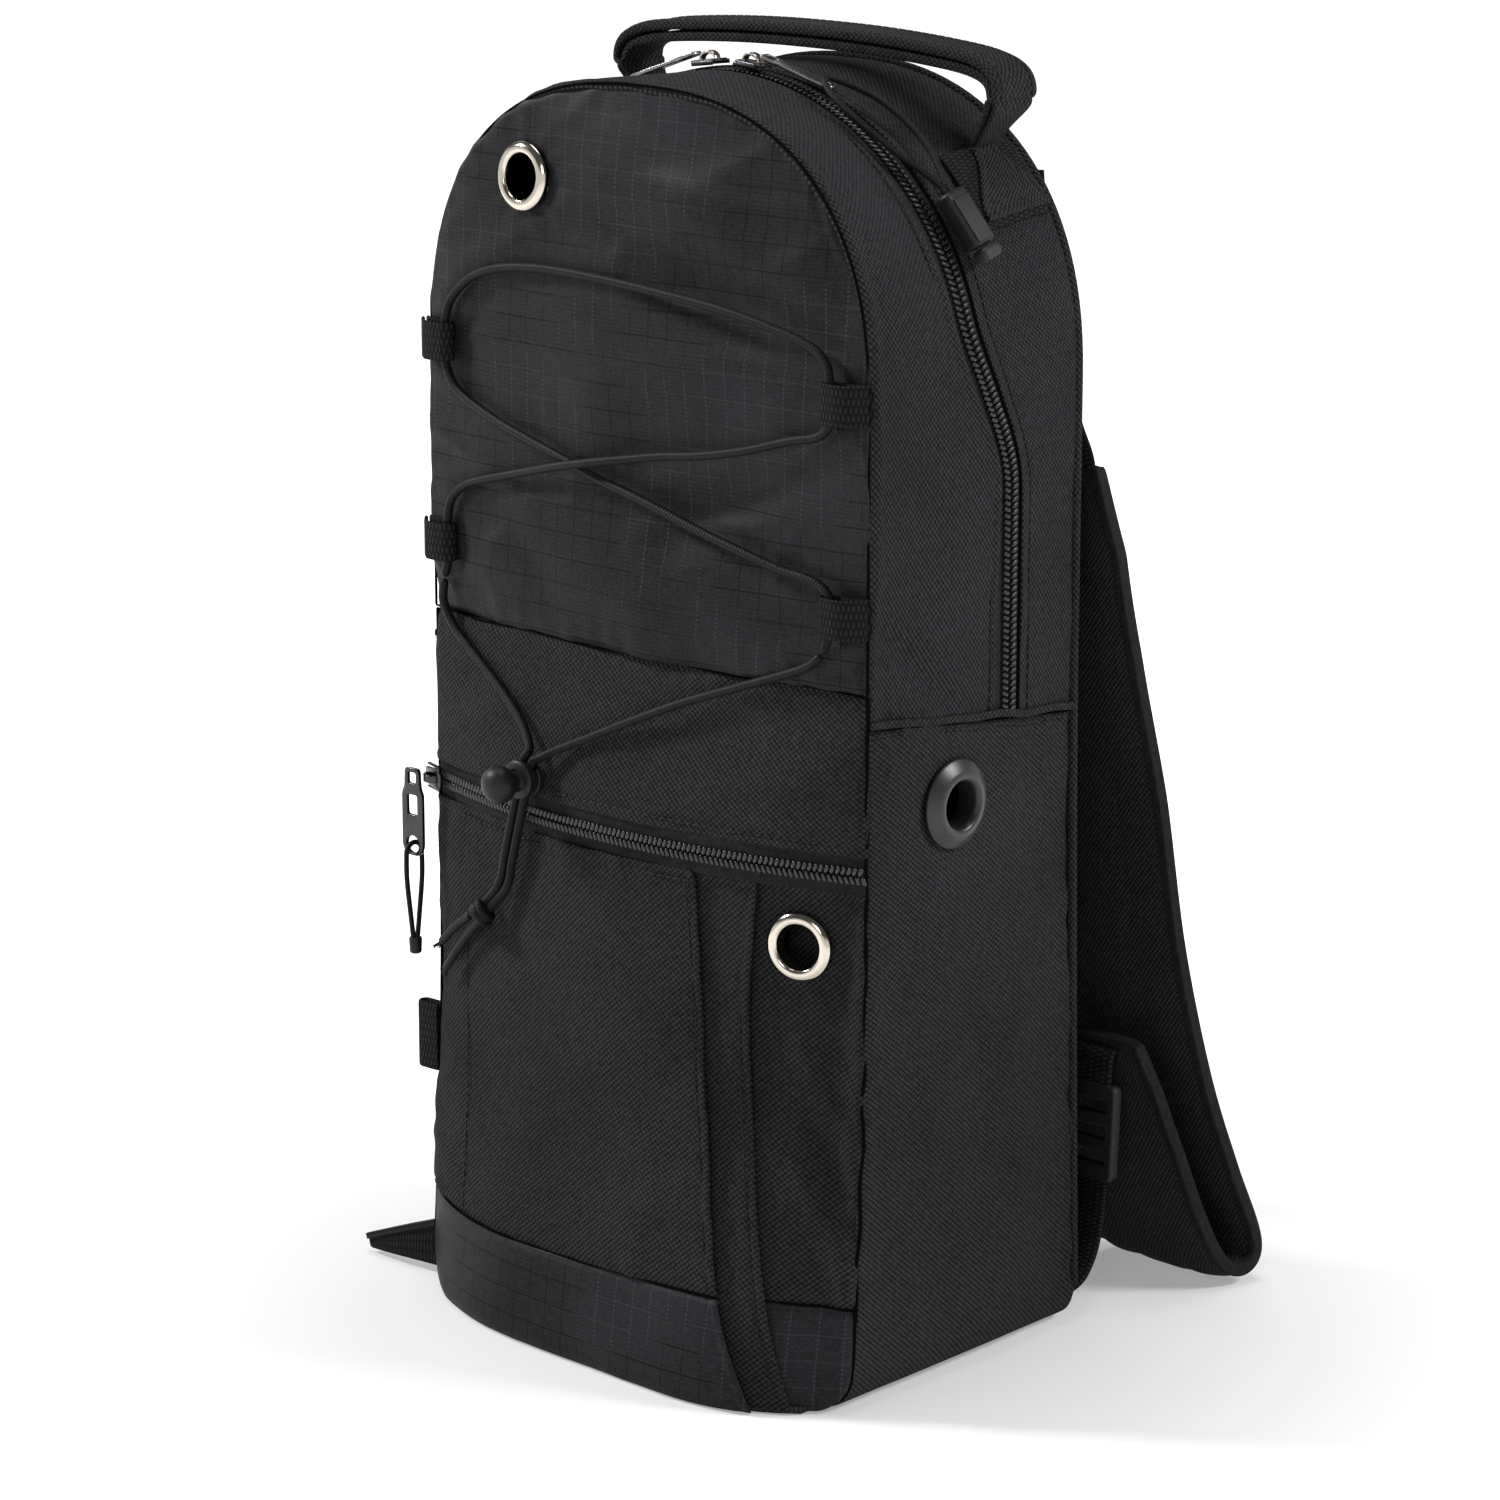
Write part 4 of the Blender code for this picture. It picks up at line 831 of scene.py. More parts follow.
def block(name, size, place, basis, finish, bevel=0.6):
    """A moulded block with rounded edges."""
    x, y = size[0] / 2, size[1] / 2
    outline = rounded([(-x, -y), (x, -y), (x, y), (-x, y)], bevel * 1.6)
    return plate(name, [outline], size[2], place, basis, finish, min(bevel, size[2] * 0.3))


def frame_from(along, normal):
    x = along.normalized()
    z = (normal - x * normal.dot(x)).normalized()
    return Matrix((x, z.cross(x), z)).transposed()


def capsule(length, radius, sides=7, flat=1.0):
    """Points and faces of a rounded bar along X."""
    rings = [(-length / 2, 0.35), (-length / 2 + radius * 0.35, 0.8), (-length / 2 + radius, 1.0)]
    rings += [(-x, share) for x, share in reversed(rings)]
    verts = []
    for x, share in rings:
        for k in range(sides):
            angle = 2 * pi * k / sides
            verts.append((x, radius * share * cos(angle), radius * flat * share * sin(angle)))
    faces = [tuple(reversed(range(sides))), tuple(range((len(rings) - 1) * sides, len(rings) * sides))]
    for r in range(len(rings) - 1):
        for k in range(sides):
            a, b = r * sides + k, r * sides + (k + 1) % sides
            faces.append((a, b, b + sides, a + sides))
    return np.array(verts), faces


def scatter(name, template, frames, finish):
    """Copies of a small shape, such as stitches or teeth, as one piece. Each frame is (place, basis)."""
    shape, shape_faces = template
    verts, faces = [], []
    for place, basis in frames:
        start = len(verts)
        moved = shape @ np.array(basis).T + np.array(place)
        verts.extend(map(tuple, moved))
        faces.extend(tuple(start + i for i in face) for face in shape_faces)
    return mesh_object(name, verts, faces, finish)


def spaced(points, pitch, first=0.0):
    """Places and directions at even steps along a route."""
    array = np.array([tuple(p) for p in points])
    steps = np.linalg.norm(np.diff(array, axis=0), axis=1)
    run = np.concatenate([[0], np.cumsum(steps)])
    found = []
    for at in np.arange(first, run[-1], pitch):
        place = [np.interp(at, run, array[:, k]) for k in range(3)]
        ahead = [np.interp(min(at + 0.5, run[-1]), run, array[:, k]) for k in range(3)]
        behind = [np.interp(max(at - 0.5, 0), run, array[:, k]) for k in range(3)]
        found.append((Vector(place), (Vector(ahead) - Vector(behind)).normalized()))
    return found


def outward(point):
    """The direction straight out of the bag at a point on or near its surface."""
    if point.z > SPRING_Z and abs(point.y) < 52:
        return Vector((point.x, 0, point.z - SPRING_Z)).normalized()
    if abs(point.x) > 95 and FRONT_SEAM_Y + 1 < point.y < BACK_SEAM_Y:
        return Vector((copysign(1, point.x), 0, 0))
    return Vector((0, -1 if point.y < 0 else 1, 0))


STITCH = capsule(2.5, 0.3)
LONG_STITCH = capsule(3.2, 0.36)
STITCH_LIFT = 0.12


def stitches(name, route, body, normal=None, pitch=3.4):
    """A row of machine stitches along a route on the cloth."""
    places = []
    for place, along in spaced(route, pitch, pitch / 2):
        up = normal if normal is not None else outward(place)
        places.append((place + up * STITCH_LIFT, frame_from(along, up)))
    return stand_for(scatter(name, STITCH, places, THREAD), body, "twill")


# ---------------------------------------------------------------- camera, light and floor


CAMERA_AZIMUTH = radians(42.16)
CAMERA_ELEVATION = radians(14.34)
CAMERA_AIM = Vector((-0.84, 0.0, 195.0))
CAMERA_DISTANCE = 1.6983
CAMERA_LENS = 121.0
CAMERA_SENSOR = 36.0
FLOOR_HALF = 40.0
FLOOR_LEVEL = -0.0003
# Where a glow starts and ends, in metres over the floor or as a share up the wall, and its strengths there.
FLOOR_GLOW = (0.13, 0.5, 0.28, 0.95)
WALL_GLOW = (0.12, 0.34, 1.0, 0.1)
LAMP_AIM = Vector((0, 0, 0.22))
# Each lamp's name, place and size in metres, and power in watts.
LAMPS = (
    ("key", (-1.7, -0.9, 1.6), 0.4, 62.0),
    ("right", (1.5, 0.9, 1.4), 0.5, 33.0),
    ("front", (1.2, -2.0, 1.3), 0.8, 9.0),
    ("top", (-0.1, 0.1, 2.3), 1.0, 24.0),
)


def point_towards(obj, direction):
    obj.rotation_mode = "QUATERNION"
    obj.rotation_quaternion = direction.to_track_quat("-Z", "Y")


def glow(tree, source, limits, target):
    """Brightness that eases from one limit to the other."""
    node = tree.nodes.new("ShaderNodeMapRange")
    node.interpolation_type = "SMOOTHSTEP"
    for socket, value in zip(("From Min", "From Max", "To Min", "To Max"), limits):
        node.inputs[socket].default_value = value
    tree.links.new(source, node.inputs["Value"])
    tree.links.new(node.outputs["Result"], target)


def build_camera():
    level = cos(CAMERA_ELEVATION)
    across, back = sin(CAMERA_AZIMUTH), -cos(CAMERA_AZIMUTH)
    away = Vector((across * level, back * level, sin(CAMERA_ELEVATION)))
    data = bpy.data.cameras.new("camera")
    data.lens = CAMERA_LENS
    data.sensor_width = CAMERA_SENSOR
    camera = new_object("camera", data)
    camera.location = CAMERA_AIM * MM + away * CAMERA_DISTANCE
    point_towards(camera, -away)
    bpy.context.scene.camera = camera


def build_floor():
    corners = [(x * FLOOR_HALF, y * FLOOR_HALF, 0) for x, y in ((-1, -1), (1, -1), (1, 1), (-1, 1))]
    mesh = bpy.data.meshes.new("floor")
    mesh.from_pydata(corners, [], [(0, 1, 2, 3)])
    paper = Nodes("floor_paper", PALE, 0.95, Specular_IOR_Level=0.0)
    paper.set("Emission Color", (1, 1, 1, 1))
    # The sweep stays white away from the lamps.
    away_from_bag = paper.tree.nodes.new("ShaderNodeVectorMath")
    away_from_bag.operation = "LENGTH"
    paper.link(paper.tree.nodes.new("ShaderNodeTexCoord").outputs["Object"], away_from_bag.inputs[0])
    glow(paper.tree, away_from_bag.outputs["Value"], FLOOR_GLOW, paper.shader.inputs["Emission Strength"])
    mesh.materials.append(paper.material)
    floor = new_object("floor", mesh)
    floor.location.z = FLOOR_LEVEL


def build_light():
    world = bpy.data.worlds.new("studio")
    bpy.context.scene.world = world
    world.use_nodes = True
    # A white wall all round, under a dimmer ceiling, so that the lamps give the cloth its shading.
    tree = world.node_tree
    background = tree.nodes["Background"]
    background.inputs["Color"].default_value = (1.0, 1.0, 1.0, 1)
    split = tree.nodes.new("ShaderNodeSeparateXYZ")
    tree.links.new(tree.nodes.new("ShaderNodeTexCoord").outputs["Generated"], split.inputs[0])
    glow(tree, split.outputs[2], WALL_GLOW, background.inputs["Strength"])
    bpy.context.scene.view_settings.view_transform = "Standard"
    for name, place, size, power in LAMPS:
        lamp = bpy.data.lights.new(name, "AREA")
        lamp.energy = power
        lamp.size = size
        holder = new_object(name, lamp)
        holder.location = place
        point_towards(holder, LAMP_AIM - Vector(place))


# ---------------------------------------------------------------- cords

LACE_OUT = 2.7
LID_LACE = (
    (-86.5, 253, 0.9), (-85, 257, 0.9), (-85, 264, 0.9), (-85, 271, 0.9), (-83, 279, 0.4), (-75, 285, 0),
    (-60, 289.5, 0), (-43, 294, 0.6), (-28, 298, 2.6), (-12, 301.5, 3.6), (4, 304.5, 1.4), (18, 307, 0),
    (33, 309, 0), (52, 313, 0), (69, 318, 0), (80, 320.5, 0.4), (85, 325, 0.9), (85, 332, 0.9),
    (85, 339, 0.9), (82.5, 345, 0.4), (75, 349.5, 0), (57, 354, 0), (40, 357, 0), (20, 359, 0),
    (0, 360.5, 0), (-20, 361.5, 0), (-40, 361.5, 0), (-58, 359.5, 0), (-72, 355, 0), (-82, 347, 0.4),
    (-85, 339.5, 0.9), (-85, 332, 0.9), (-85, 324.5, 0.9), (-81, 317.5, 0.4), (-73, 313, 0),
    (-58, 308, 0), (-40, 303.5, 0), (-26, 300, 0), (-12, 296, 0), (4, 292.5, 0), (18, 289, 0),
    (34, 284.5, 0), (50, 280.5, 0), (66, 276.5, 0), (78, 274.8, 0.4), (85, 271, 0.9), (85, 264, 0.9),
    (85, 257, 0.9), (83.5, 253, 0.9),
)
LEFT_STRAND = (
    (-87.2, 249.5, 0.9), (-88, 243, 0.6), (-83, 235, 0), (-74, 229, 0), (-56, 218.5, 0), (-43, 210, 0.4),
    (-36, 203, 1.6),
)
RIGHT_STRAND = (
    (81.6, 250.0, 0.9), (76, 246, 0.6), (62, 240.5, 0), (43, 233.5, 0), (26, 227, 0), (8, 219, 0),
    (-9, 211, 0), (-22, 205, 0.6), (-30.5, 200.5, 1.6),
)
LOCK_PLACE = Vector((-36.5, 0.0, 193.0))
LOCK_CORD_OUT = 4.6
TAIL = Vector((-0.27, 0.0, -1.0)).normalized()
TAIL_SIDE = Vector((-TAIL.z, 0, TAIL.x))


def lace_point(x, z, out=0.0):
    return front(x, z, LACE_OUT + out)


def lace_route():
    return through([lace_point(*row) for row in LID_LACE], 4)


def build_lace():
    # Its ends reach the places where the hanging strands begin, so that the cord looks whole.
    stand_for(tube("lace_on_lid", lace_route(), LACE_R, LACE), "lid", "lace", "lace")

    level = front(LOCK_PLACE.x, LOCK_PLACE.z).y - LOCK_CORD_OUT
    middle = Vector((LOCK_PLACE.x, level, LOCK_PLACE.z))
    knot = Vector((-57.0, front(-57.0, 142.5).y - 6.0, 142.5))
    tied = build_knot(knot)
    for name, rows, side in (("left", LEFT_STRAND, -1), ("right", RIGHT_STRAND, 1)):
        points = [lace_point(*row) for row in rows]
        points += [middle + TAIL * run + TAIL_SIDE * 1.8 * side for run in (-6.0, 6.0, 18.0, 30.0, 40.0)]
        toward = (knot - points[-1]).normalized()
        points.append(knot - toward * 3.4 + TAIL_SIDE * side * 0.95)
        route = through(points, 5)
        piece = tube(f"lace_{name}_tail", route, LACE_R, LACE)
        stand_for(piece, "lace_tail", "lace", f"lace_{name}_strand")


def build_knot(knot):
    """An overhand knot in both cords, with two frayed ends."""
    along = Vector((-0.62, -0.1, -0.78)).normalized()
    aside = FORWARD.cross(along).normalized()
    up = along.cross(aside)
    loops = []
    for shift, phase in ((-1.3, 0.0), (1.3, 2.2)):
        turns = []
        for k in range(15):
            angle = phase + 2 * pi * 1.35 * k / 14
            centre = knot + along * (shift + 2.2 * sin(angle * 0.5))
            turns.append(centre + aside * 3.3 * cos(angle) + up * 3.3 * sin(angle))
        loops.append(tube(f"lace_knot_turn_{len(loops)}", turns, 1.45, LACE, 10, 3))
    ends = (
        ((-58.0, 142.0), (-64.0, 140.6), (-70.0, 137.0), (-78.0, 131.5), (-86.0, 125.0)),
        ((-57.5, 141.0), (-62.6, 136.6), (-68.0, 131.5), (-75.0, 124.5), (-82.0, 117.0)),
    )
    generator = random.Random(4)
    for index, route in enumerate(ends):
        points = [front(x, z, 4.4) for x, z in route]
        loops.append(tube(f"lace_end_{index}", points, LACE_R, LACE, 12, 4))
        out = (points[-1] - points[-2]).normalized()
        for strand in range(9):
            spread = Vector([generator.uniform(-1, 1) for _ in range(3)]) * 0.9
            end = points[-1]
            fray = [end + spread * 0.6, end + out * 2.0 + spread * 1.2, end + out * 3.6 + spread * 2.0]
            loops.append(tube(f"lace_fray_{index}_{strand}", fray, 0.28, LACE, 5, 2))
    tied = loops[0]
    join(tied, loops[1:])
    tied.name = "lace_tied_knot"
    return stand_for(tied, "lace_tail", "lace", "lace_knot")


def join(main, others):
    """Makes several objects one piece."""
    with bpy.context.temp_override(
        active_object=main, selected_objects=[main, *others], selected_editable_objects=[main, *others]
    ):
        bpy.ops.object.join()
    return main


def carve(obj, cutter):
    """Cuts a helper's volume out of a piece."""
    cut = modify(obj, "BOOLEAN", operation="DIFFERENCE", object=cutter)
    bpy.context.view_layer.update()
    mesh = bpy.data.meshes.new_from_object(obj.evaluated_get(bpy.context.evaluated_depsgraph_get()))
    obj.modifiers.remove(cut)
    old, obj.data = obj.data, mesh
    bpy.data.meshes.remove(old)
    bpy.data.objects.remove(cutter)
    mesh.shade_smooth()
    mesh.set_sharp_from_angle(angle=radians(40))
    return obj


# ---------------------------------------------------------------- the lid and the arched strip


def fan(u):
    """Columns that close up a little towards both edges, where the arch is steep."""
    s = 2 * u - 1
    return HALF_WIDTH * (0.35 * s + 0.65 * sin(s * pi / 2))


# Folds of the lid's front: start and end in X and Z, height, width and bend.
LID_FOLDS = (
    ((-30, 386), (94, 338), -3.4, 9.0, 3.0),
    ((-10, 404), (88, 362), 2.2, 8.0, 3.0),
    ((-92, 320), (-58, 352), -2.0, 6.0, -3.0),
    ((96, 262), (48, 250), -1.8, 5.0, 2.0),
    ((94, 318), (10, 276), -2.6, 9.0, 3.0),
    ((60, 340), (-30, 318), 1.8, 9.0, 3.0),
    ((-96, 246), (-40, 282), 1.6, 7.0, 3.0),
    ((-90, 300), (-30, 256), -1.6, 8.0, 3.0),
    ((96, 340), (52, 352), 1.3, 4.0, -2.0),
    ((95, 322), (60, 300), 1.1, 5.0, 2.0),
    ((-95, 345), (-60, 372), 0.7, 5.0, 2.0),
    ((-30, 414), (26, 404), 0.6, 6.0, 3.0),
)


def build_lid_front():
    def place(u, v):
        x = fan(u)
        return front(x, lerp(LID_SEAM_Z, arch_height(x, ARCH_FRONT), v))

    grid = Grid(place, 84, 80, 195, 186, flat_xz)
    grid.wrinkle(3.6, (58, 70, 52), 1.0)
    grid.wrinkle(1.3, (26, 26, 30), 2.0)
    grid.wrinkle(0.9, (38, 38, 18), 6.0, 3.0)
    grid.creases(*LID_FOLDS)
    for hand in (-1, 1):
        for z in (332, 264):
            for lift, reach, depth in ((10, 26, 0.9), (-2, 34, -0.8), (-13, 24, 0.8)):
                start = (hand * 97, z + lift * 0.5)
                grid.crease(start, (hand * (97 - reach), z + lift * 1.6), depth, 3.0, 1.5)
    grid.pucker(("top",), 0.6, 13, 0.4, 10)
    grid.pucker(("left", "right"), 0.55, 17, 0.9, 11)
    grid.pucker(("bottom",), 0.5, 12, 1.4, 9)
    grid.tuck(("left", "right", "top", "bottom"), 1.1, 1.8)
    eyelet = front(*UPPER_EYELET)
    grid.gather_round(eyelet, EYELET_R, 0.4)
    grid.press(lace_route(), 0.45, 3.2, 0.6)
    obj = grid.object("lid_front_cloth", RIPSTOP, LINING, holes=[(eyelet, LID_HOLE_R)])
    fold_with_lid(obj)
    stand_for(obj, None, "ripstop", "lid_front_panel")


def strip_grid(first_y, last_y, around, along, out=0.0):
    def place(u, v):
        guide = strip_point(u, ZIP_ARCH_Y, SIDE_SEAM_BACK_Z)
        y = lerp(first_y(guide.z), last_y(guide.z), v)
        return strip_point(u, y, side_seam(y), out)

    width = abs(last_y(SPRING_Z) - first_y(SPRING_Z))
    return Grid(place, around, along, 520, width)


def zipper_route(offset, out):
    """A line over the strip that keeps a distance before or behind the zipper."""
    points = []
    steps = 420
    for k in range(steps + 1):
        p = k / steps
        y = zipper_y(strip_point(p, ZIP_ARCH_Y, SIDE_SEAM_BACK_Z).z) + offset
        points.append(strip_point(p, y, side_seam(y), out))
    return points


def build_strip():
    def beside_zip(offset):
        return lambda z: zipper_y(z) + offset

    zip_front = beside_zip(-ZIP_TAPE)
    zip_rear = beside_zip(ZIP_TAPE)

    gusset = strip_grid(front_seam, lambda z: zip_front(z) + 1.0, 190, 18)
    gusset.wrinkle(2.4, (60, 40, 56), 11.0)
    gusset.wrinkle(0.7, (22, 22, 26), 12.0)
    gusset.pucker(("bottom",), 0.5, 14, 2.0, 9)
    gusset.tuck(("bottom",), 1.1, 1.6)
    # The fold that doubles the cloth just behind the front seam, and the zipper's topstitched edge.
    gusset.relief += 0.5 * bell(gusset.bottom - 3.4, 1.7) - 0.3 * bell(gusset.bottom - 7.0, 1.0)
    gusset.hem(("top",), 3.5, 0.55)
    # One soft diagonal fold low on each side.
    for hand in (-1, 1):
        near = gusset.points[..., 0] * hand > 60
        y, z = gusset.points[..., 1], gusset.points[..., 2]
        run = Vector((39.0, -34.0)).normalized()
        aside = (y + 51) * -run.y + (z - 262) * run.x
        along = ((y + 51) * run.x + (z - 262) * run.y) / 52
        gusset.relief += near * -2.6 * bell(aside, 5.0) * bell(along - 0.5, 0.45)
    obj = gusset.object("lid_gusset_cloth", TWILL, LINING)
    fold_with_lid(obj)
    stand_for(obj, None, "twill", "lid_gusset")

    rear = strip_grid(lambda z: zip_rear(z) - 1.2, back_seam, 190, 16)
    rear.wrinkle(1.0, (50, 40, 60), 15.0)
    rear.wrinkle(0.4, (20, 20, 20), 16.0)
    rear.tuck(("top",), 1.1, 1.8)
    rear.relief += 0.9 * bell(rear.bottom, 3.2) * (0.75 + noise_field(rear.points, (25, 25, 25), 18))
    rear.relief -= 0.3 * bell(rear.bottom - 4.6, 1.0)
    stand_for(rear.object("rear_gusset_cloth", TWILL, LINING), "bag", "twill", "rear_gusset")

    for name, near, far, moves in (
        ("front", zip_front, beside_zip(-0.35), True),
        ("rear", beside_zip(0.35), zip_rear, False),
    ):
        tape = strip_grid(near, far, 190, 4, -0.5)
        obj = tape.object(f"main_zip_{name}_tape_cloth", TAPE, thickness=TAPE_T)
        if moves:
            fold_with_lid(obj)
            stand_for(obj, None, "zip_coil", "main_zip_front_tape")
        else:
            stand_for(obj, "bag", "zip_coil", "main_zip_rear_tape")
        sign = -1 if moves else 1
        teeth = zip_teeth(f"main_zip_{name}_teeth", zipper_route(0.0, 0.15), sign, BACKWARD)
        if moves:
            fold_with_lid(teeth)
        else:
            stand_for(teeth, "bag", "zip_coil")

    for name, offset, body in (("front", -ZIP_TAPE - 2.5, None), ("rear", ZIP_TAPE + 3.6, "bag")):
        row = zipper_route(offset, 0.05)
        obj = stitches(f"main_zip_{name}_topstitch", row, body, pitch=3.2)
        if body is None:
            fold_with_lid(obj)


TOOTH = capsule(3.2, 0.8, 7, 0.8)
SMALL_TOOTH = capsule(2.9, 0.76, 7, 0.8)


def zip_teeth(name, route, sign, across, pitch=2.1, template=TOOTH, aside=1.95, finish=COIL):
    """One row of a coil zipper's teeth, slanting in towards the other row."""
    frames = []
    for place, along in spaced(route, pitch, pitch / 2 if sign > 0 else pitch * 0.05):
        up = along.cross(across)
        if up.dot(place - BAG_MIDDLE) < 0:
            up = -up
        slant = (across * sign + along * 0.42).normalized()
        frames.append((place + across * sign * aside + up * 0.1, frame_from(slant, up)))
    return scatter(name, template, frames, finish)


def seam_shade_line(name, route, body, radius=0.6):
    """A near-black cord of painted shade along the groove where two panels are sewn together and turn in."""
    obj = tube(name, route, radius, SHADE, 6)
    if body is None:
        fold_with_lid(obj)
    return stand_for(obj, body, "twill")


def build_seam_shade_lines():
    # Near-black cords along the seams and the zipper's welt fold: painted shade in their grooves.
    arch = [strip_point(p, FRONT_SEAM_Y + 0.35, LID_SEAM_Z + 1, -0.75) for p in np.linspace(0, 1, 240)]
    seam_shade_line("lid_front_seam_shade", arch, None, 0.52)
    across = np.linspace(-96.5, 96.5, 80)
    low = [front(x, LID_SEAM_Z + 0.5 * sin(x / 9), -0.5) for x in across]
    seam_shade_line("lid_lower_seam_shade", low, None, 0.4)
    for side, hand in (("right", 1), ("left", -1)):
        upright = []
        for z in np.linspace(4, 238, 120):
            wave = 0.5 * noise.noise(Vector((z / 14, hand, 2)))
            upright.append(Vector((hand * (front_half_width(z) - 1.1 + wave), front_seam(z) + 0.7 + wave, z)))
        seam_shade_line(f"front_corner_seam_shade_{side}", upright, "bag", 0.7)
        depths = np.linspace(FRONT_SEAM_Y + 1, BACK_SEAM_Y - 1, 50)
        under = [side_point(y, side_seam(y) - 2.0, hand, -0.1) for y in depths]
        seam_shade_line(f"side_lower_seam_shade_{side}", under, "bag", 0.35)
    low = [front(x, band_seam(x), -0.45) for x in np.linspace(-96.5, 57.5, 70)]
    seam_shade_line("pocket_band_seam_shade", low, "bag", 0.42)
    low = [front(x, band_seam(x), -0.45) + Vector((0, under_two(x), 0)) for x in np.linspace(76, 96.5, 20)]
    seam_shade_line("pocket_side_band_seam_shade", low, "bag", 0.4)
    welt = zipper_route(ZIP_TAPE - 1.4, -0.1)
    seam_shade_line("main_zip_welt_shade", welt, "bag", 0.5)


# ---------------------------------------------------------------- sides, back and base


def build_sides():
    curl, lowest = 0.12, radians(-82)
    for side, hand in (("right", 1), ("left", -1)):

        def place(u, v, hand=hand):
            if v < curl:
                turn = lerp(lowest, 0, v / curl)
                z = CORNER_R + CORNER_R * sin(turn)
                x = HALF_WIDTH - CORNER_R + CORNER_R * cos(turn)
                rise = 0.0
            else:
                rise = (v - curl) / (1 - curl)
                z = lerp(CORNER_R, side_seam(lerp(FRONT_SEAM_Y, BACK_SEAM_Y, u)), rise)
                x = HALF_WIDTH
            y = lerp(front_seam(z), back_seam(z), u)
            return Vector((hand * (x + SIDE_BULGE * sin(pi * u) * smooth(rise * 4)), y, z))

        grid = Grid(place, 44, 88, 108, 225)
        grid.wrinkle(3.2, (60, 34, 90), 21.0 + hand)
        grid.wrinkle(0.9, (24, 20, 46), 24.0 + hand)
        grid.wrinkle(0.8, (30, 16, 50), 27.0 + hand, 3.0)
        grid.pucker(("top",), 0.6, 12, 3.0, 12)
        grid.pucker(("left", "right"), 0.55, 15, 4.0, 9)
        grid.tuck(("left", "right", "top"), 1.1, 1.8)
        holes = []
        if hand > 0:
            turns = np.linspace(0, 6.28, 24)
            rim = [GLAND_PLACE + Vector((0.0, 12 * cos(a), 12 * sin(a))) for a in turns]
            grid.press(rim, 0.5, 4.0, 0.1)
            holes = [(GLAND_PLACE, GLAND_HOLE_R)]
        grid.relief *= np.clip(grid.points[..., 2] / 26, 0, 1)
        obj = grid.object(f"side_{side}_cloth", TWILL, LINING, holes=holes)
        stand_for(obj, "bag", "twill", f"side_panel_{side}")

        # The seam between the side and the strip above it is rolled over and stands a little proud.
        rolled = []
        for k in range(64):
            y = lerp(FRONT_SEAM_Y + 0.5, BACK_SEAM_Y - 0.5, k / 63)
            wave = noise.noise(Vector((y / 16, hand * 3, 5)))
            rolled.append(side_point(y, side_seam(y) + 0.9 * wave - 0.4, hand, 0.35 + 0.35 * wave))
        seam = band(f"side_seam_{side}", rolled, Vector((0, 0.07, 1)), 2.6, 1.2, FINE_TWILL)
        finer(seam)
        stand_for(seam, "bag", "twill")
        row = [p + Vector((0, 0, -3.4)) for p in rolled[2:-2]]
        stitches(f"side_seam_stitch_{side}", row, "bag", Vector((hand, 0, 0)), 3.2)


PAD_HALF, PAD_LOW_Z, PAD_TOP_Z = 48.0, 42.0, 370.0
PAD_MIDDLE_Z = 206.0
PAD_CHANNELS_Z = (96.0, 151.0, 206.0, 261.0, 316.0)


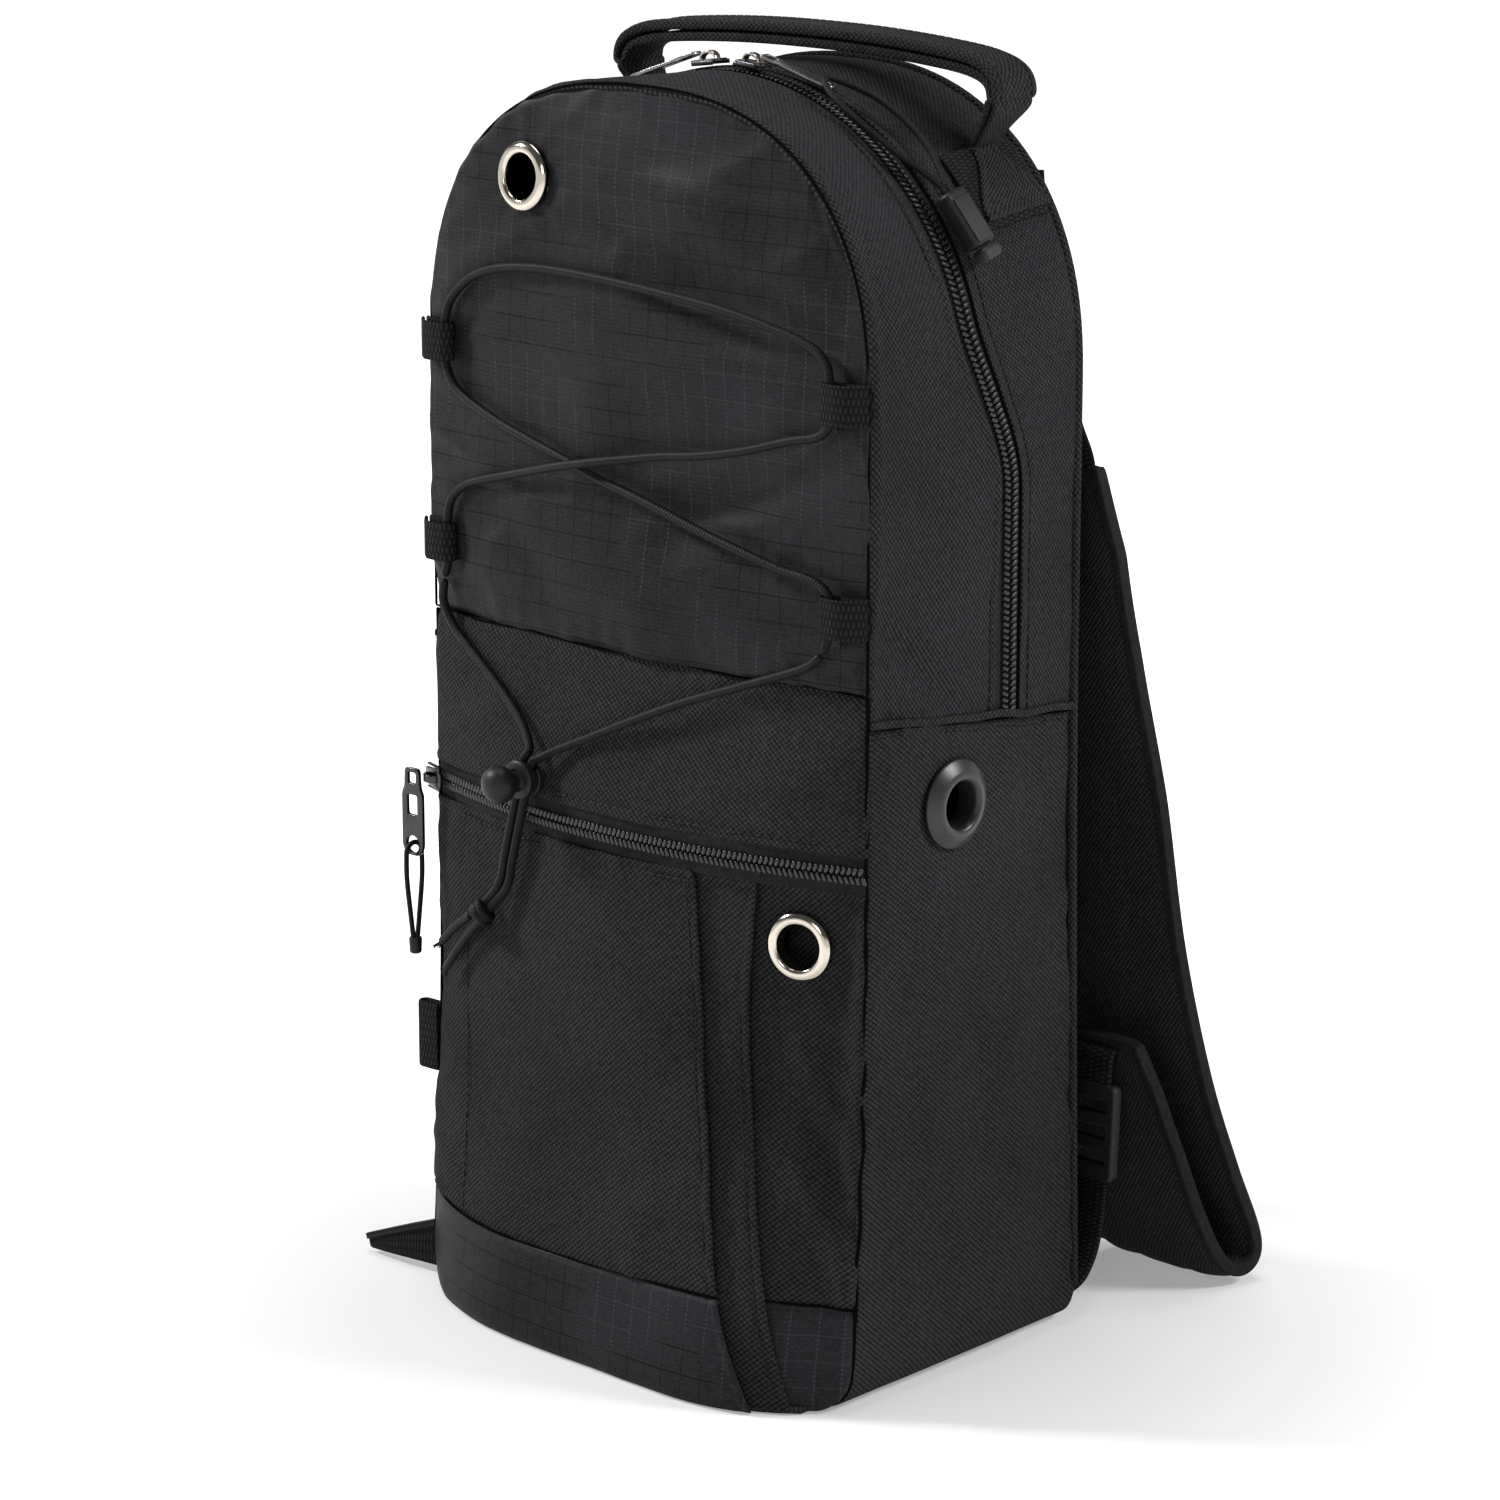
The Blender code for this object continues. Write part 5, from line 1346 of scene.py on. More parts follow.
def build_back():
    def place(u, v):
        x = fan(u)
        z = lerp(floor_edge(x, BASE_T - 1.0), arch_height(x, ARCH_BACK), v)
        return Vector((x, back_seam(z), z))

    grid = Grid(place, 64, 120, 195, 420, flat_xz)
    grid.wrinkle(0.9, (70, 70, 110), 31.0)
    grid.wrinkle(0.4, (22, 22, 30), 32.0)
    grid.pucker(("left", "right", "top"), 0.35, 11, 5.0, 8)
    grid.tuck(("left", "right", "top", "bottom"), 1.0, 1.8)
    grid.relief = np.minimum(grid.relief, 0.9)
    stand_for(grid.object("back_cloth", TWILL, LINING, BACK_T), "bag", "twill", "back_panel")

    # Piping along the back's outline.
    edge = [Vector((HALF_WIDTH - 0.5, back_seam(z) - 0.3, z)) for z in np.linspace(14, SPRING_Z, 50)]
    for k in range(1, 60):
        p = arch_point(180 * k / 60, BACK_SEAM_Y)
        edge.append(Vector((p.x, back_seam(p.z) - 0.3, p.z)) - outward(Vector((p.x, 0, p.z + 0.01))) * 0.5)
    edge += [Vector((-HALF_WIDTH + 0.5, back_seam(z) - 0.3, z)) for z in np.linspace(SPRING_Z, 14, 50)]
    stand_for(tube("back_piping", edge, 1.7, TWILL, 12), "bag", "twill")

    def pad_place(u, v):
        su, sv = sin(pi * u), sin(pi * v)
        edge = max(0.0, su) ** 0.3 * max(0.0, sv) ** 0.22
        z = lerp(PAD_LOW_Z, PAD_TOP_Z, v)
        channel = 0.0
        for middle in PAD_CHANNELS_Z:
            channel += exp(-(((z - middle) / 5.0) ** 2))
        out = edge * (6.6 - 3.4 * min(1.0, channel))
        return Vector((lerp(-PAD_HALF, PAD_HALF, u), back_seam(z) + 0.6 + out, z))

    pad = Grid(pad_place, 46, 130, 96, 328, flat_xz)
    pad.wrinkle(0.3, (18, 18, 18), 35.0)
    pad.relief *= np.clip(pad.left / 10, 0, 1) * np.clip(pad.right / 10, 0, 1)
    obj = pad.object("back_pad_cloth", BACK_MESH, thickness=MESH_T)
    stand_for(obj, "bag", "padding", "back_pad")
    corners = [(-PAD_HALF, PAD_LOW_Z), (PAD_HALF, PAD_LOW_Z), (PAD_HALF, PAD_TOP_Z), (-PAD_HALF, PAD_TOP_Z)]
    outline = rounded(corners, 10, 6)
    route = [Vector((p.x, back_seam(p.y) + 1.6, p.y)) for p in outline + outline[:1]]
    fine = [p for p, _ in spaced(route, 4.0)] + [route[0]]
    sides = [Vector((p.x - BAG_MIDDLE.x, 0, p.z - PAD_MIDDLE_Z)).normalized() for p in fine]
    stand_for(band("back_pad_binding", fine, sides, 7.0, 1.8, BINDING), "bag", "padding")


def build_base():
    half = HALF_WIDTH - CORNER_R
    outline = [Vector((half, back_seam(0) - 2.0)), Vector((-half, back_seam(0) - 2.0))]
    outline += [Vector((x, front(x, 1.0).y + 3.0)) for x in np.linspace(-half, half, 30)]
    obj = plate("base_cloth", [outline], BASE_T, Vector((0, 0, BASE_T / 2)), Matrix.Identity(3), TWILL, 0.7)
    stand_for(obj, "bag", "twill", "base_panel")
    board = rounded([(-80, -45), (80, -45), (80, 52), (-80, 52)], 6)
    place = Vector((0, 0, BASE_T + 1.9))
    obj = plate("base_board_sheet", [board], 3.0, place, Matrix.Identity(3), BOARD, 0.6)
    stand_for(obj, "bag", "board", "base_board")

    def wall(u, v):
        z = lerp(BASE_T + 4.6, LID_SEAM_Z - 4.0, v)
        return Vector((lerp(-93.5, 93.5, u), front_seam(z) + 6.0, z))

    grid = Grid(wall, 30, 40, 187, 230, flat_xz)
    grid.wrinkle(0.8, (40, 40, 60), 41.0)
    obj = grid.object("pocket_back_cloth", FINE_TWILL, LINING, WALL_T)
    stand_for(obj, "bag", "twill", "pocket_back_wall")

    hoop = [(-46, 47.6, 200), (-50, 30, 200), (-49, 5, 200), (-36, -22, 200), (0, -36, 200), (36, -22, 200),
            (49, 5, 200), (50, 30, 200), (46, 47.6, 200)]
    line = through(hoop, 6)
    obj = band("cylinder_strap_webbing", line, UP, 38.0, WEB_T, WEBBING)
    stand_for(obj, "bag", "webbing", "cylinder_strap")


# ---------------------------------------------------------------- front pocket


def front_grid(left, right, low, high, across, along, behind=0.0):
    def place(u, v):
        middle = (low(0) + high(0)) / 2
        x = lerp(left(middle), right(middle), u)
        for _ in range(4):
            z = lerp(low(x), high(x), v)
            x = lerp(left(z), right(z), u)
        back = behind(x) if callable(behind) else behind
        return front(x, z) + Vector((0, back, 0))

    middle = (low(0) + high(0)) / 2
    return Grid(place, across, along, right(middle) - left(middle), high(0) - low(0), flat_xz)


def constant(value):
    return lambda place: value


def band_seam(x):
    return BAND_Z + 1.2 * sin(x / 31.0)


def floor_line(x):
    return floor_edge(x, 0.3)


def first_flap(z):
    return curved(z, FIRST_FLAP)


def second_flap(z):
    return curved(z, SECOND_FLAP)


def first_lap(z):
    return first_flap(z) - FLAP_LAP


def second_lap(z):
    return second_flap(z) - FLAP_LAP


def under_two(x):
    """The pocket's side panel lies under both flaps, and comes back out to the side seam."""
    return 2 * LAYER * smooth((HALF_WIDTH - x) / 12.0)


def build_pocket():
    tape_low, tape_high = POCKET_ZIP_Z - POCKET_ZIP_HALF, POCKET_ZIP_Z + POCKET_ZIP_HALF
    left, right = constant(-HALF_WIDTH), constant(HALF_WIDTH)
    below_zip = constant(tape_low)

    def soften(grid, seed, amount=1.0):
        grid.wrinkle(2.2 * amount, (60, 60, 60), seed)
        grid.wrinkle(0.8 * amount, (22, 22, 28), seed + 1)
        grid.wrinkle(0.7 * amount, (32, 32, 18), seed + 2, 3.0)

    panel = front_grid(left, first_flap, band_seam, below_zip, 60, 60)
    soften(panel, 51.0)
    panel.creases(
        ((-79, 172), (-66, 36), -0.5, 1.3),
        ((-95, 60), (-60, 38), 0.9, 4.0, 2.0),
        ((40, 120), (-20, 90), 1.3, 8.0, 4.0),
        ((52, 70), (0, 44), 1.2, 7.0, 3.0),
        ((-70, 150), (-10, 120), -1.2, 9.0, 4.0),
    )
    panel.pucker(("top",), 0.5, 13, 6.0, 10)
    panel.pucker(("bottom",), 0.5, 14, 7.0, 10)
    panel.pucker(("left",), 0.6, 17, 7.5, 10)
    panel.tuck(("left", "bottom"), 1.1, 1.8)
    panel.hem(("right", "top"))
    # The cloth lies flat under the cord lock.
    x, z = panel.points[..., 0], panel.points[..., 2]
    under_lock = np.exp(-(((x + 42) / 15) ** 4) - (((z - 168) / 15) ** 4))
    panel.relief = panel.relief * (1 - under_lock) - 0.3 * under_lock
    stand_for(panel.object("pocket_cloth", FINE_TWILL, LINING), "bag", "twill", "pocket_panel")

    low_band = front_grid(left, first_flap, floor_line, band_seam, 66, 18)
    soften(low_band, 55.0, 0.7)
    low_band.tuck(("left", "top", "bottom"), 1.0, 1.8)
    low_band.hem(("right",))
    obj = low_band.object("pocket_band_cloth", BAND_RIPSTOP, LINING)
    stand_for(obj, "bag", "ripstop", "pocket_band")

    flap = front_grid(first_lap, second_flap, floor_line, below_zip, 18, 70, LAYER)
    soften(flap, 58.0, 0.5)
    flap.hem(("right", "top"))
    obj = flap.object("pocket_inner_flap_cloth", FINE_TWILL, LINING)
    stand_for(obj, "bag", "twill", "pocket_inner_flap")

    side = front_grid(second_lap, right, band_seam, below_zip, 26, 64, under_two)
    soften(side, 61.0, 0.5)
    side.creases(
        ((97, 36), (72, 84), 2.0, 4.0, 2.0),
        ((97, 56), (74, 104), -1.7, 3.5, 2.0),
        ((97, 78), (70, 122), 1.5, 3.5, 2.0),
        ((97, 106), (76, 128), -1.2, 3.5, 2.0),
    )
    side.pucker(("right",), 0.6, 13, 8.0, 9)
    side.tuck(("right", "bottom"), 1.0, 1.8)
    side.hem(("top",))
    eyelet = lower_eyelet_place()
    side.gather_round(eyelet, EYELET_R, 0.3)
    obj = side.object("pocket_side_cloth", FINE_TWILL, LINING, holes=[(eyelet, POCKET_HOLE_R)])
    stand_for(obj, "bag", "twill", "pocket_side_panel")

    side_band = front_grid(second_lap, right, floor_line, band_seam, 22, 18, under_two)
    soften(side_band, 65.0, 0.5)
    side_band.tuck(("right", "top", "bottom"), 1.0, 1.8)
    obj = side_band.object("pocket_side_band_cloth", BAND_RIPSTOP, LINING)
    stand_for(obj, "bag", "ripstop", "pocket_side_band")

    upper = front_grid(left, right, constant(tape_high), constant(LID_SEAM_Z), 78, 26)
    soften(upper, 68.0, 0.8)
    upper.creases(
        ((-95, 200), (-40, 222), 1.5, 6.0, 3.0),
        ((92, 214), (30, 196), 1.4, 6.0, 2.0),
        ((60, 224), (0, 205), -1.3, 8.0, 3.0),
    )
    upper.pucker(("top",), 0.5, 12, 9.0, 9)
    upper.tuck(("left", "right", "top"), 1.1, 1.8)
    upper.hem(("bottom",))
    for rows in (LEFT_STRAND, RIGHT_STRAND):
        upper.press(through([lace_point(*row) for row in rows], 4), 0.5, 3.5, 0.4)
    obj = upper.object("front_band_cloth", TWILL, LINING)
    fold_with_lid(obj)
    stand_for(obj, None, "twill", "front_band")

    for name, low, high, sign in (
        ("lower", tape_low - 0.8, POCKET_ZIP_Z - 0.3, -1),
        ("upper", POCKET_ZIP_Z + 0.3, tape_high + 0.8, 1),
    ):
        tape = front_grid(left, right, constant(low), constant(high), 78, 4, 0.7)
        obj = tape.object(f"pocket_zip_{name}_tape_cloth", TAPE, thickness=TAPE_T)
        stand_for(obj, "bag", "zip_coil", f"pocket_zip_{name}_tape")
        route = [front(x, POCKET_ZIP_Z, 0.1) for x in np.linspace(-HALF_WIDTH + 1, HALF_WIDTH - 1, 160)]
        teeth = zip_teeth(f"pocket_zip_{name}_teeth", route, sign, UP, 1.95, SMALL_TOOTH, 1.45, BRIGHT_COIL)
        stand_for(teeth, "bag", "zip_coil")

    def on_front(pairs, out=0.05):
        return [front(x, z, out) for x, z in pairs]

    rows = {
        "pocket_seam": on_front([(lerp(-79, -66, t), lerp(174, 37, t)) for t in np.linspace(0, 1, 40)], -0.1),
        "pocket_flap": on_front([(first_flap(z) - 3.6, z) for z in np.linspace(38, 170, 50)]),
        "pocket_top": on_front([(x, tape_low - 3.5) for x in np.linspace(-95, 34, 60)]),
        "front_band_low": on_front([(x, tape_high + 3.5) for x in np.linspace(-95, 95, 80)]),
    }
    for name, row in rows.items():
        stitches(name + "_stitch", row, "bag")
    inner = [front(second_flap(z) - 3.6, z) + Vector((0, LAYER, 0)) for z in np.linspace(6, 168, 60)]
    stitches("pocket_inner_flap_stitch", inner, "bag")


def lower_eyelet_place():
    x, z = LOWER_EYELET
    return front(x, z) + Vector((0, under_two(x), 0))


# ---------------------------------------------------------------- eyelets, grommet and loops


# Each ring's section, as (radius, height) corners.
EYELET_FLANGE = (
    (EYELET_BORE + 0.3, -4.0), (EYELET_BORE + 0.1, 0.6), (EYELET_BORE + 0.5, 2.3), (EYELET_R - 1.6, 2.6),
    (EYELET_R, 1.2), (EYELET_R - 0.1, 0.2), (EYELET_BORE + 1.2, 0.2), (EYELET_BORE + 1.2, -4.0),
)
EYELET_WASHER = (
    (EYELET_BORE + 1.4, -2.7), (EYELET_R, -2.7), (EYELET_R, -3.7), (EYELET_BORE + 1.4, -3.7),
)
GROMMET_RIM = (
    (GLAND_BORE, -4.8), (GLAND_BORE, 2.6), (GLAND_BORE + 1.0, 4.2), (GLAND_BORE + 2.8, 4.2),
    (GLAND_R - 2.6, 3.1), (GLAND_R, 1.4), (GLAND_R - 0.1, 0.3), (GLAND_BORE + 1.4, 0.3),
    (GLAND_BORE + 1.4, -4.8),
)
GROMMET_BACK = (
    (GLAND_BORE + 1.6, -2.9), (GLAND_R - 1, -2.9), (GLAND_R - 1, -4.4), (GLAND_BORE + 1.6, -4.4),
)


def ring(name, corners, soft, place, direction, finish):
    profile = [(p.x, p.y) for p in rounded(corners, soft, 3)]
    return turned(name, profile, place, direction, finish)


def build_eyelets():
    for name, place, normal, body in (
        ("upper_eyelet", front(*UPPER_EYELET), front_normal(*UPPER_EYELET), "lid"),
        ("lower_eyelet", lower_eyelet_place(), front_normal(*LOWER_EYELET), "bag"),
    ):
        flange = ring(name + "_flange", EYELET_FLANGE, 1.5, place, normal, NICKEL)
        washer = ring(name + "_washer_ring", EYELET_WASHER, 0.3, place, normal, NICKEL)
        join(flange, [washer])
        stand_for(flange, body, "nickel", name, name + "_washer")
    grommet = ring("tube_grommet_rim", GROMMET_RIM, 1.2, GLAND_PLACE, RIGHT, RUBBER)
    inner = ring("tube_grommet_back", GROMMET_BACK, 0.4, GLAND_PLACE, RIGHT, RUBBER)
    join(grommet, [inner])
    stand_for(grommet, "bag", "rubber", "tube_grommet", "tube_grommet_ring")


def half_turn(centre, radius, hand):
    """The rounded end of a webbing loop, from its back to its front."""
    turns = [radians(90 + 15 * k) for k in range(13)]
    return [centre + Vector((hand * cos(a), sin(a), 0)) * radius for a in turns]


def build_lace_loops():
    web = 1.3
    for side, hand in (("right", 1), ("left", -1)):
        for level, z in (("upper", 332.0), ("lower", 264.0)):
            lace = lace_point(hand * 85.0, z, 0.9)
            seam = front(hand * 97.0, z).y
            inner = LACE_R + 0.25 + web / 2
            points = [Vector((hand * 98.6, seam + 0.4, z)), Vector((hand * 93.0, lace.y + inner, z))]
            points += half_turn(lace, inner, hand)
            points += [Vector((hand * 92.0, lace.y - inner - 0.2, z)), Vector((hand * 98.6, seam - 1.9, z))]
            points = through(points, 2)
            obj = band(f"lace_loop_{level}_{side}_webbing", points, UP, 13.0, web, WEBBING)
            stand_for(obj, "lid", "webbing", f"lace_loop_{level}_{side}")


def build_left_trim():
    seam_y = front_seam(86.0)
    middle = Vector((-104.6, seam_y + 1.4, 86.0))
    points = [Vector((-97.0, middle.y + 1.7, 86.0)), Vector((-101.0, middle.y + 1.9, 86.0))]
    points += half_turn(middle, 1.9, 1)
    points += [Vector((-101.0, middle.y - 1.9, 86.0)), Vector((-97.0, middle.y - 1.7, 86.0))]
    obj = band("side_loop_left_webbing", points, UP, 24.0, 1.6, WEBBING)
    stand_for(obj, "bag", "webbing", "side_loop_left")

    wing = through([(-96.6, -55.9, 10.8), (-108, -57.0, 8.8), (-120, -57.0, 6.2), (-132, -56.0, 3.4)], 5)
    widths = [lerp(17.0, 4.6, k / 15) for k in range(16)]
    obj = band("side_wing_left_webbing", wing, UP, widths, 2.2, WEBBING)
    hem = [p + Vector((0, -0.3, w / 2 - 0.3)) for p, w in zip(wing, widths)]
    rolled = band("side_wing_hem", hem, UP, 2.2, 3.0, BINDING)
    finer(obj)
    stand_for(obj, "bag", "webbing", "side_wing_left")
    stand_for(rolled, "bag", "webbing")


# ---------------------------------------------------------------- cord lock, sliders and pulls


def build_cord_lock():
    out = FORWARD
    base = front(LOCK_PLACE.x, LOCK_PLACE.z)
    r = 6.4
    corners = [
        (0.0, 1.5), (r - 0.9, 1.5), (r, 2.3), (r, 3.6), (r - 0.35, 3.9), (r - 0.35, 5.6), (r, 5.9), (r, 8.0),
        (r - 1.0, 8.8), (r - 2.4, 8.8), (r - 2.8, 8.4), (r - 2.8, 6.8), (0.0, 6.8),
    ]
    body = turned("cord_lock_barrel", corners, base, out, PLASTIC, 48, False)
    cutter = block("slot", (8.0, 3.7, 20.0), base + out * LOCK_CORD_OUT,
                   frame_from(TAIL_SIDE, out.cross(TAIL_SIDE)), PLASTIC, 0.9)
    carve(body, cutter)
    stand_for(body, "cord_lock", "plastic", "cord_lock_body")
    top = 12.1
    ball = [(0.0, top - 2.4), (3.2, top - 2.4), (3.2, top - 0.4), (4.2, top - 0.2)]
    for k in range(13):
        turn = radians(-48 + 11.5 * k)
        ball.append((r * cos(turn), top + 4.4 + r * 0.85 * sin(turn)))
    ball.append((0.0, top + 4.4 + r * 0.85))
    button = turned("cord_lock_ball", ball, base, out, PLASTIC, 48, False)
    stand_for(button, "lock_button", "plastic", "cord_lock_button")


# The bridge over a slider, along it and up from it.
BAIL_ARCH = ((-3.6, 0.9), (-3.3, 2.2), (-2.2, 3.2), (-0.3, 3.6), (1.4, 3.2), (2.7, 2.2), (3.0, 0.9))


def slider_parts(name, place, basis, metal_finish, bail_finish):
    """A slider: a shouldered top plate over side flanges, with a bridge that the puller hangs on."""
    half = [(-6, -2.9), (-1, -3.3), (4.2, -4.0), (6, -2.6)]
    outline = rounded(half + [(x, -y) for x, y in reversed(half)], 1.4)
    top = plate(name, [outline], 1.2, place + basis @ Vector((0, 0, 0.6)), basis, metal_finish, 0.35)
    walls = []
    for side in (-1, 1):
        middle = place + basis @ Vector((-0.4, side * 4.0, 0.05))
        walls.append(block(f"{name}_wall_{side}", (9.6, 0.7, 1.5), middle, basis, metal_finish, 0.3))
    arch = [place + basis @ Vector((along, 0, up)) for along, up in BAIL_ARCH]
    bridge = band(name + "_bridge", through(arch, 3), basis @ BACKWARD, 2.6, 1.0, bail_finish)
    if metal_finish is not bail_finish:
        bridge.data.materials.clear()
        bridge.data.materials.append(bail_finish)
    join(top, [*walls, bridge])
    return top


def puller_plate(name, length, place, basis, finish, wide=4.8):
    """A stamped puller: a window by the slider, a waist, and an eye at its tip."""
    half, w = length / 2, wide / 2
    edge = [(-half, -w * 0.85), (-half + 7, -w * 0.85), (-half + 9, -w * 0.7)]
    edge += [(half - 7, -w), (half - 1.6, -w), (half, -w * 0.5)]
    outline = rounded(edge + [(x, -y) for x, y in reversed(edge)], 1.2)
    window = rounded([(-half + 1.4, -1.1), (-half + 6.0, -1.1), (-half + 6.0, 1.1), (-half + 1.4, 1.1)], 0.6)
    eye = circle(1.25, (half - 2.6, 0), 20)
    return plate(name, [outline, window, eye], 1.4, place, basis, finish, 0.35)


def arch_frame(turn, sign):
    angle = radians(turn)
    along = Vector((cos(angle), 0, -sin(angle))) * sign
    return frame_from(along, Vector((sin(angle), 0, cos(angle))))


PULL_LOOP = (
    (52.0, 0.9, 8.6), (50.6, 1.2, 8.4), (47.0, 3.6, 7.8), (42.0, 5.8, 7.4), (36.0, 6.0, 7.2),
    (30.0, 4.2, 7.4), (25.6, 0.6, 7.6), (22.6, -3.2, 7.8), (21.2, -6.0, 8.0), (22.4, -9.6, 7.6),
    (25.8, -12.2, 6.6), (31.0, -12.2, 5.8), (37.0, -10.4, 5.6), (43.0, -7.4, 6.2), (47.6, -3.8, 7.4),
    (50.8, -1.8, 8.4), (52.2, -1.6, 8.6),
)
PULL_END = (58.0, 2.0, 8.8)


def build_main_pullers():
    for side, turn, sign, behind in (("right", 3.4, 1, 1.4), ("left", -7.6, -1, 0.8)):
        place = on_arch(turn, 2.4)
        obj = slider_parts(f"main_slider_{side}_body", place, arch_frame(turn, sign), DARK_METAL, NICKEL)
        stand_for(obj, f"zip_slider_{side}", "dark_metal", f"main_slider_{side}")
        start, stop = turn + sign * 3.2, turn + sign * 20.0
        centre = (on_arch(start, 5.1) + on_arch(stop, 4.5)) / 2
        length = (on_arch(start, 5.1) - on_arch(stop, 5.1)).length
        basis = arch_frame(turn + sign * 11.6, sign)
        middle = centre + Vector((0, 0, 1.0)) + basis @ Vector((0.5 - behind, 0, 0))
        obj = puller_plate(f"main_puller_{side}_plate", length + 1.0, middle, basis, GUNMETAL, 5.2)
        stand_for(obj, f"zip_pull_{side}", "nickel", f"main_puller_{side}")

    turn, y, out = PULL_END
    along = (on_arch(turn + 6, out, y + 2.5) - on_arch(turn - 6, out, y - 2.5)).normalized()
    angle = radians(turn)
    basis = frame_from(along, Vector((sin(angle), 0, cos(angle))))
    place = on_arch(turn, out, y) + along * 1.6

    def end_block(name, size, along, up, finish, bevel):
        middle = place + basis @ Vector((along, 0, up))
        return block(f"zip_pull_end_{name}", size, middle, basis, finish, bevel)

    end = end_block("body", (20.0, 10.4, 5.6), -2.5, -0.3, PLASTIC, 1.3)
    face = end_block("face", (16.0, 8.2, 1.2), -1.6, 2.5, GREY_PLASTIC, 0.5)
    cap = end_block("cap", (4.6, 9.8, 6.0), 10.3, 0.0, SOFT_GREY, 1.6)
    join(end, [face, cap])
    stand_for(end, "zip_pull_right", "grey_plastic", "zip_pull_end")
    route = through([on_arch(t, o, d) for t, d, o in PULL_LOOP], 5)
    cord = tube("zip_pull_loop", route, 1.1, LACE, 10)
    stand_for(cord, "zip_pull_right", "lace", "zip_pull_cord")


def build_pocket_slider():
    radius = 273.0
    out = Vector((-94.0, -sqrt(radius**2 - 94.0**2), 0)).normalized()
    base = Vector((-94.0, FRONT_SEAM_Y - 18.0 + radius + out.y * radius, POCKET_ZIP_Z))
    along = Vector((-out.y, out.x, 0))
    basis = frame_from(along, out)
    obj = slider_parts("pocket_slider_body", base + out * 2.2, basis, DARK_METAL, DARK_METAL)
    stand_for(obj, "pocket_zip_slider", "dark_metal", "pocket_slider")

    pivot = Vector((-101.5, -60.6, POCKET_ZIP_Z + 1.0))
    tall = 31.0
    half = tall / 2
    upright = Matrix(((1, 0, 0), (0, 0, 1), (0, 1, 0))).transposed()
    edge = [(-3.4, half), (-3.8, half - 7), (-5, half - 9), (-5, -half + 3), (-3, -half)]
    outline = rounded(edge + [(-x, y) for x, y in reversed(edge)], 1.6)
    window = rounded([(-1.9, half - 1.6), (-1.9, half - 5.4), (1.9, half - 5.4), (1.9, half - 1.6)], 0.8)
    slot = rounded([(-2.4, half - 9.5), (-2.4, half - 16.5), (2.4, half - 16.5), (2.4, half - 9.5)], 1.0)
    eye = circle(3.0, (0, 4.0 - half), 28)
    middle = pivot + Vector((0, 0, 2.0 - half))
    obj = plate("pocket_puller_plate", [outline, window, slot, eye], 1.5, middle, upright, DARK_METAL, 0.35)
    stand_for(obj, "pocket_zip_pull", "dark_metal", "pocket_puller")

    eye = pivot + Vector((0, 0, 6.0 - tall))
    bend, tip_z = 3.6, eye.z - 36.0
    points = [Vector((eye.x, eye.y - 1.1, tip_z + 3.4)), Vector((eye.x, eye.y - 2.2, tip_z + 12))]
    points.append(Vector((eye.x, eye.y - bend, eye.z - 12)))
    for k in range(7):
        turn = radians(180 - 30 * k)
        points.append(eye + Vector((0, bend * cos(turn), bend * sin(turn) - bend + 0.6)))
    points += [Vector((eye.x, eye.y + bend, eye.z - 12)), Vector((eye.x, eye.y + 2.2, tip_z + 12))]
    points.append(Vector((eye.x, eye.y + 1.1, tip_z + 3.4)))
    route = through(points, 4)
    bead = [(0.0, -3.0), (1.6, -2.9), (2.1, -2.4), (2.3, 2.2), (2.0, 2.8), (1.4, 3.1), (0.0, 3.1)]
    tip = turned("pocket_pull_bead", bead, Vector((eye.x, eye.y, tip_z)), UP, PLASTIC, 32, False)
    stand_for(tip, "pocket_zip_pull", "plastic", "pocket_pull_tip")
    cord = tube("pocket_pull_loop", route, 0.9, LACE, 10)
    stand_for(cord, "pocket_zip_pull", "lace", "pocket_pull_cord")


# ---------------------------------------------------------------- haul handle

HANDLE_Y = 33.0
HANDLE_LINE = (
    (69.6, 401.6), (77.0, 410.5), (81.5, 417.4), (80.0, 424.4), (71.0, 428.4), (52.0, 430.6),
    (26.0, 432.1),
)
HANDLE_WIDTHS = (9.0, 16.0, 22.0, 20.0, 18.0, 18.0, 18.0)
HANDLE_DEPTHS = (2.6, 3.4, 5.0, 7.0, 7.4, 7.4, 7.4)


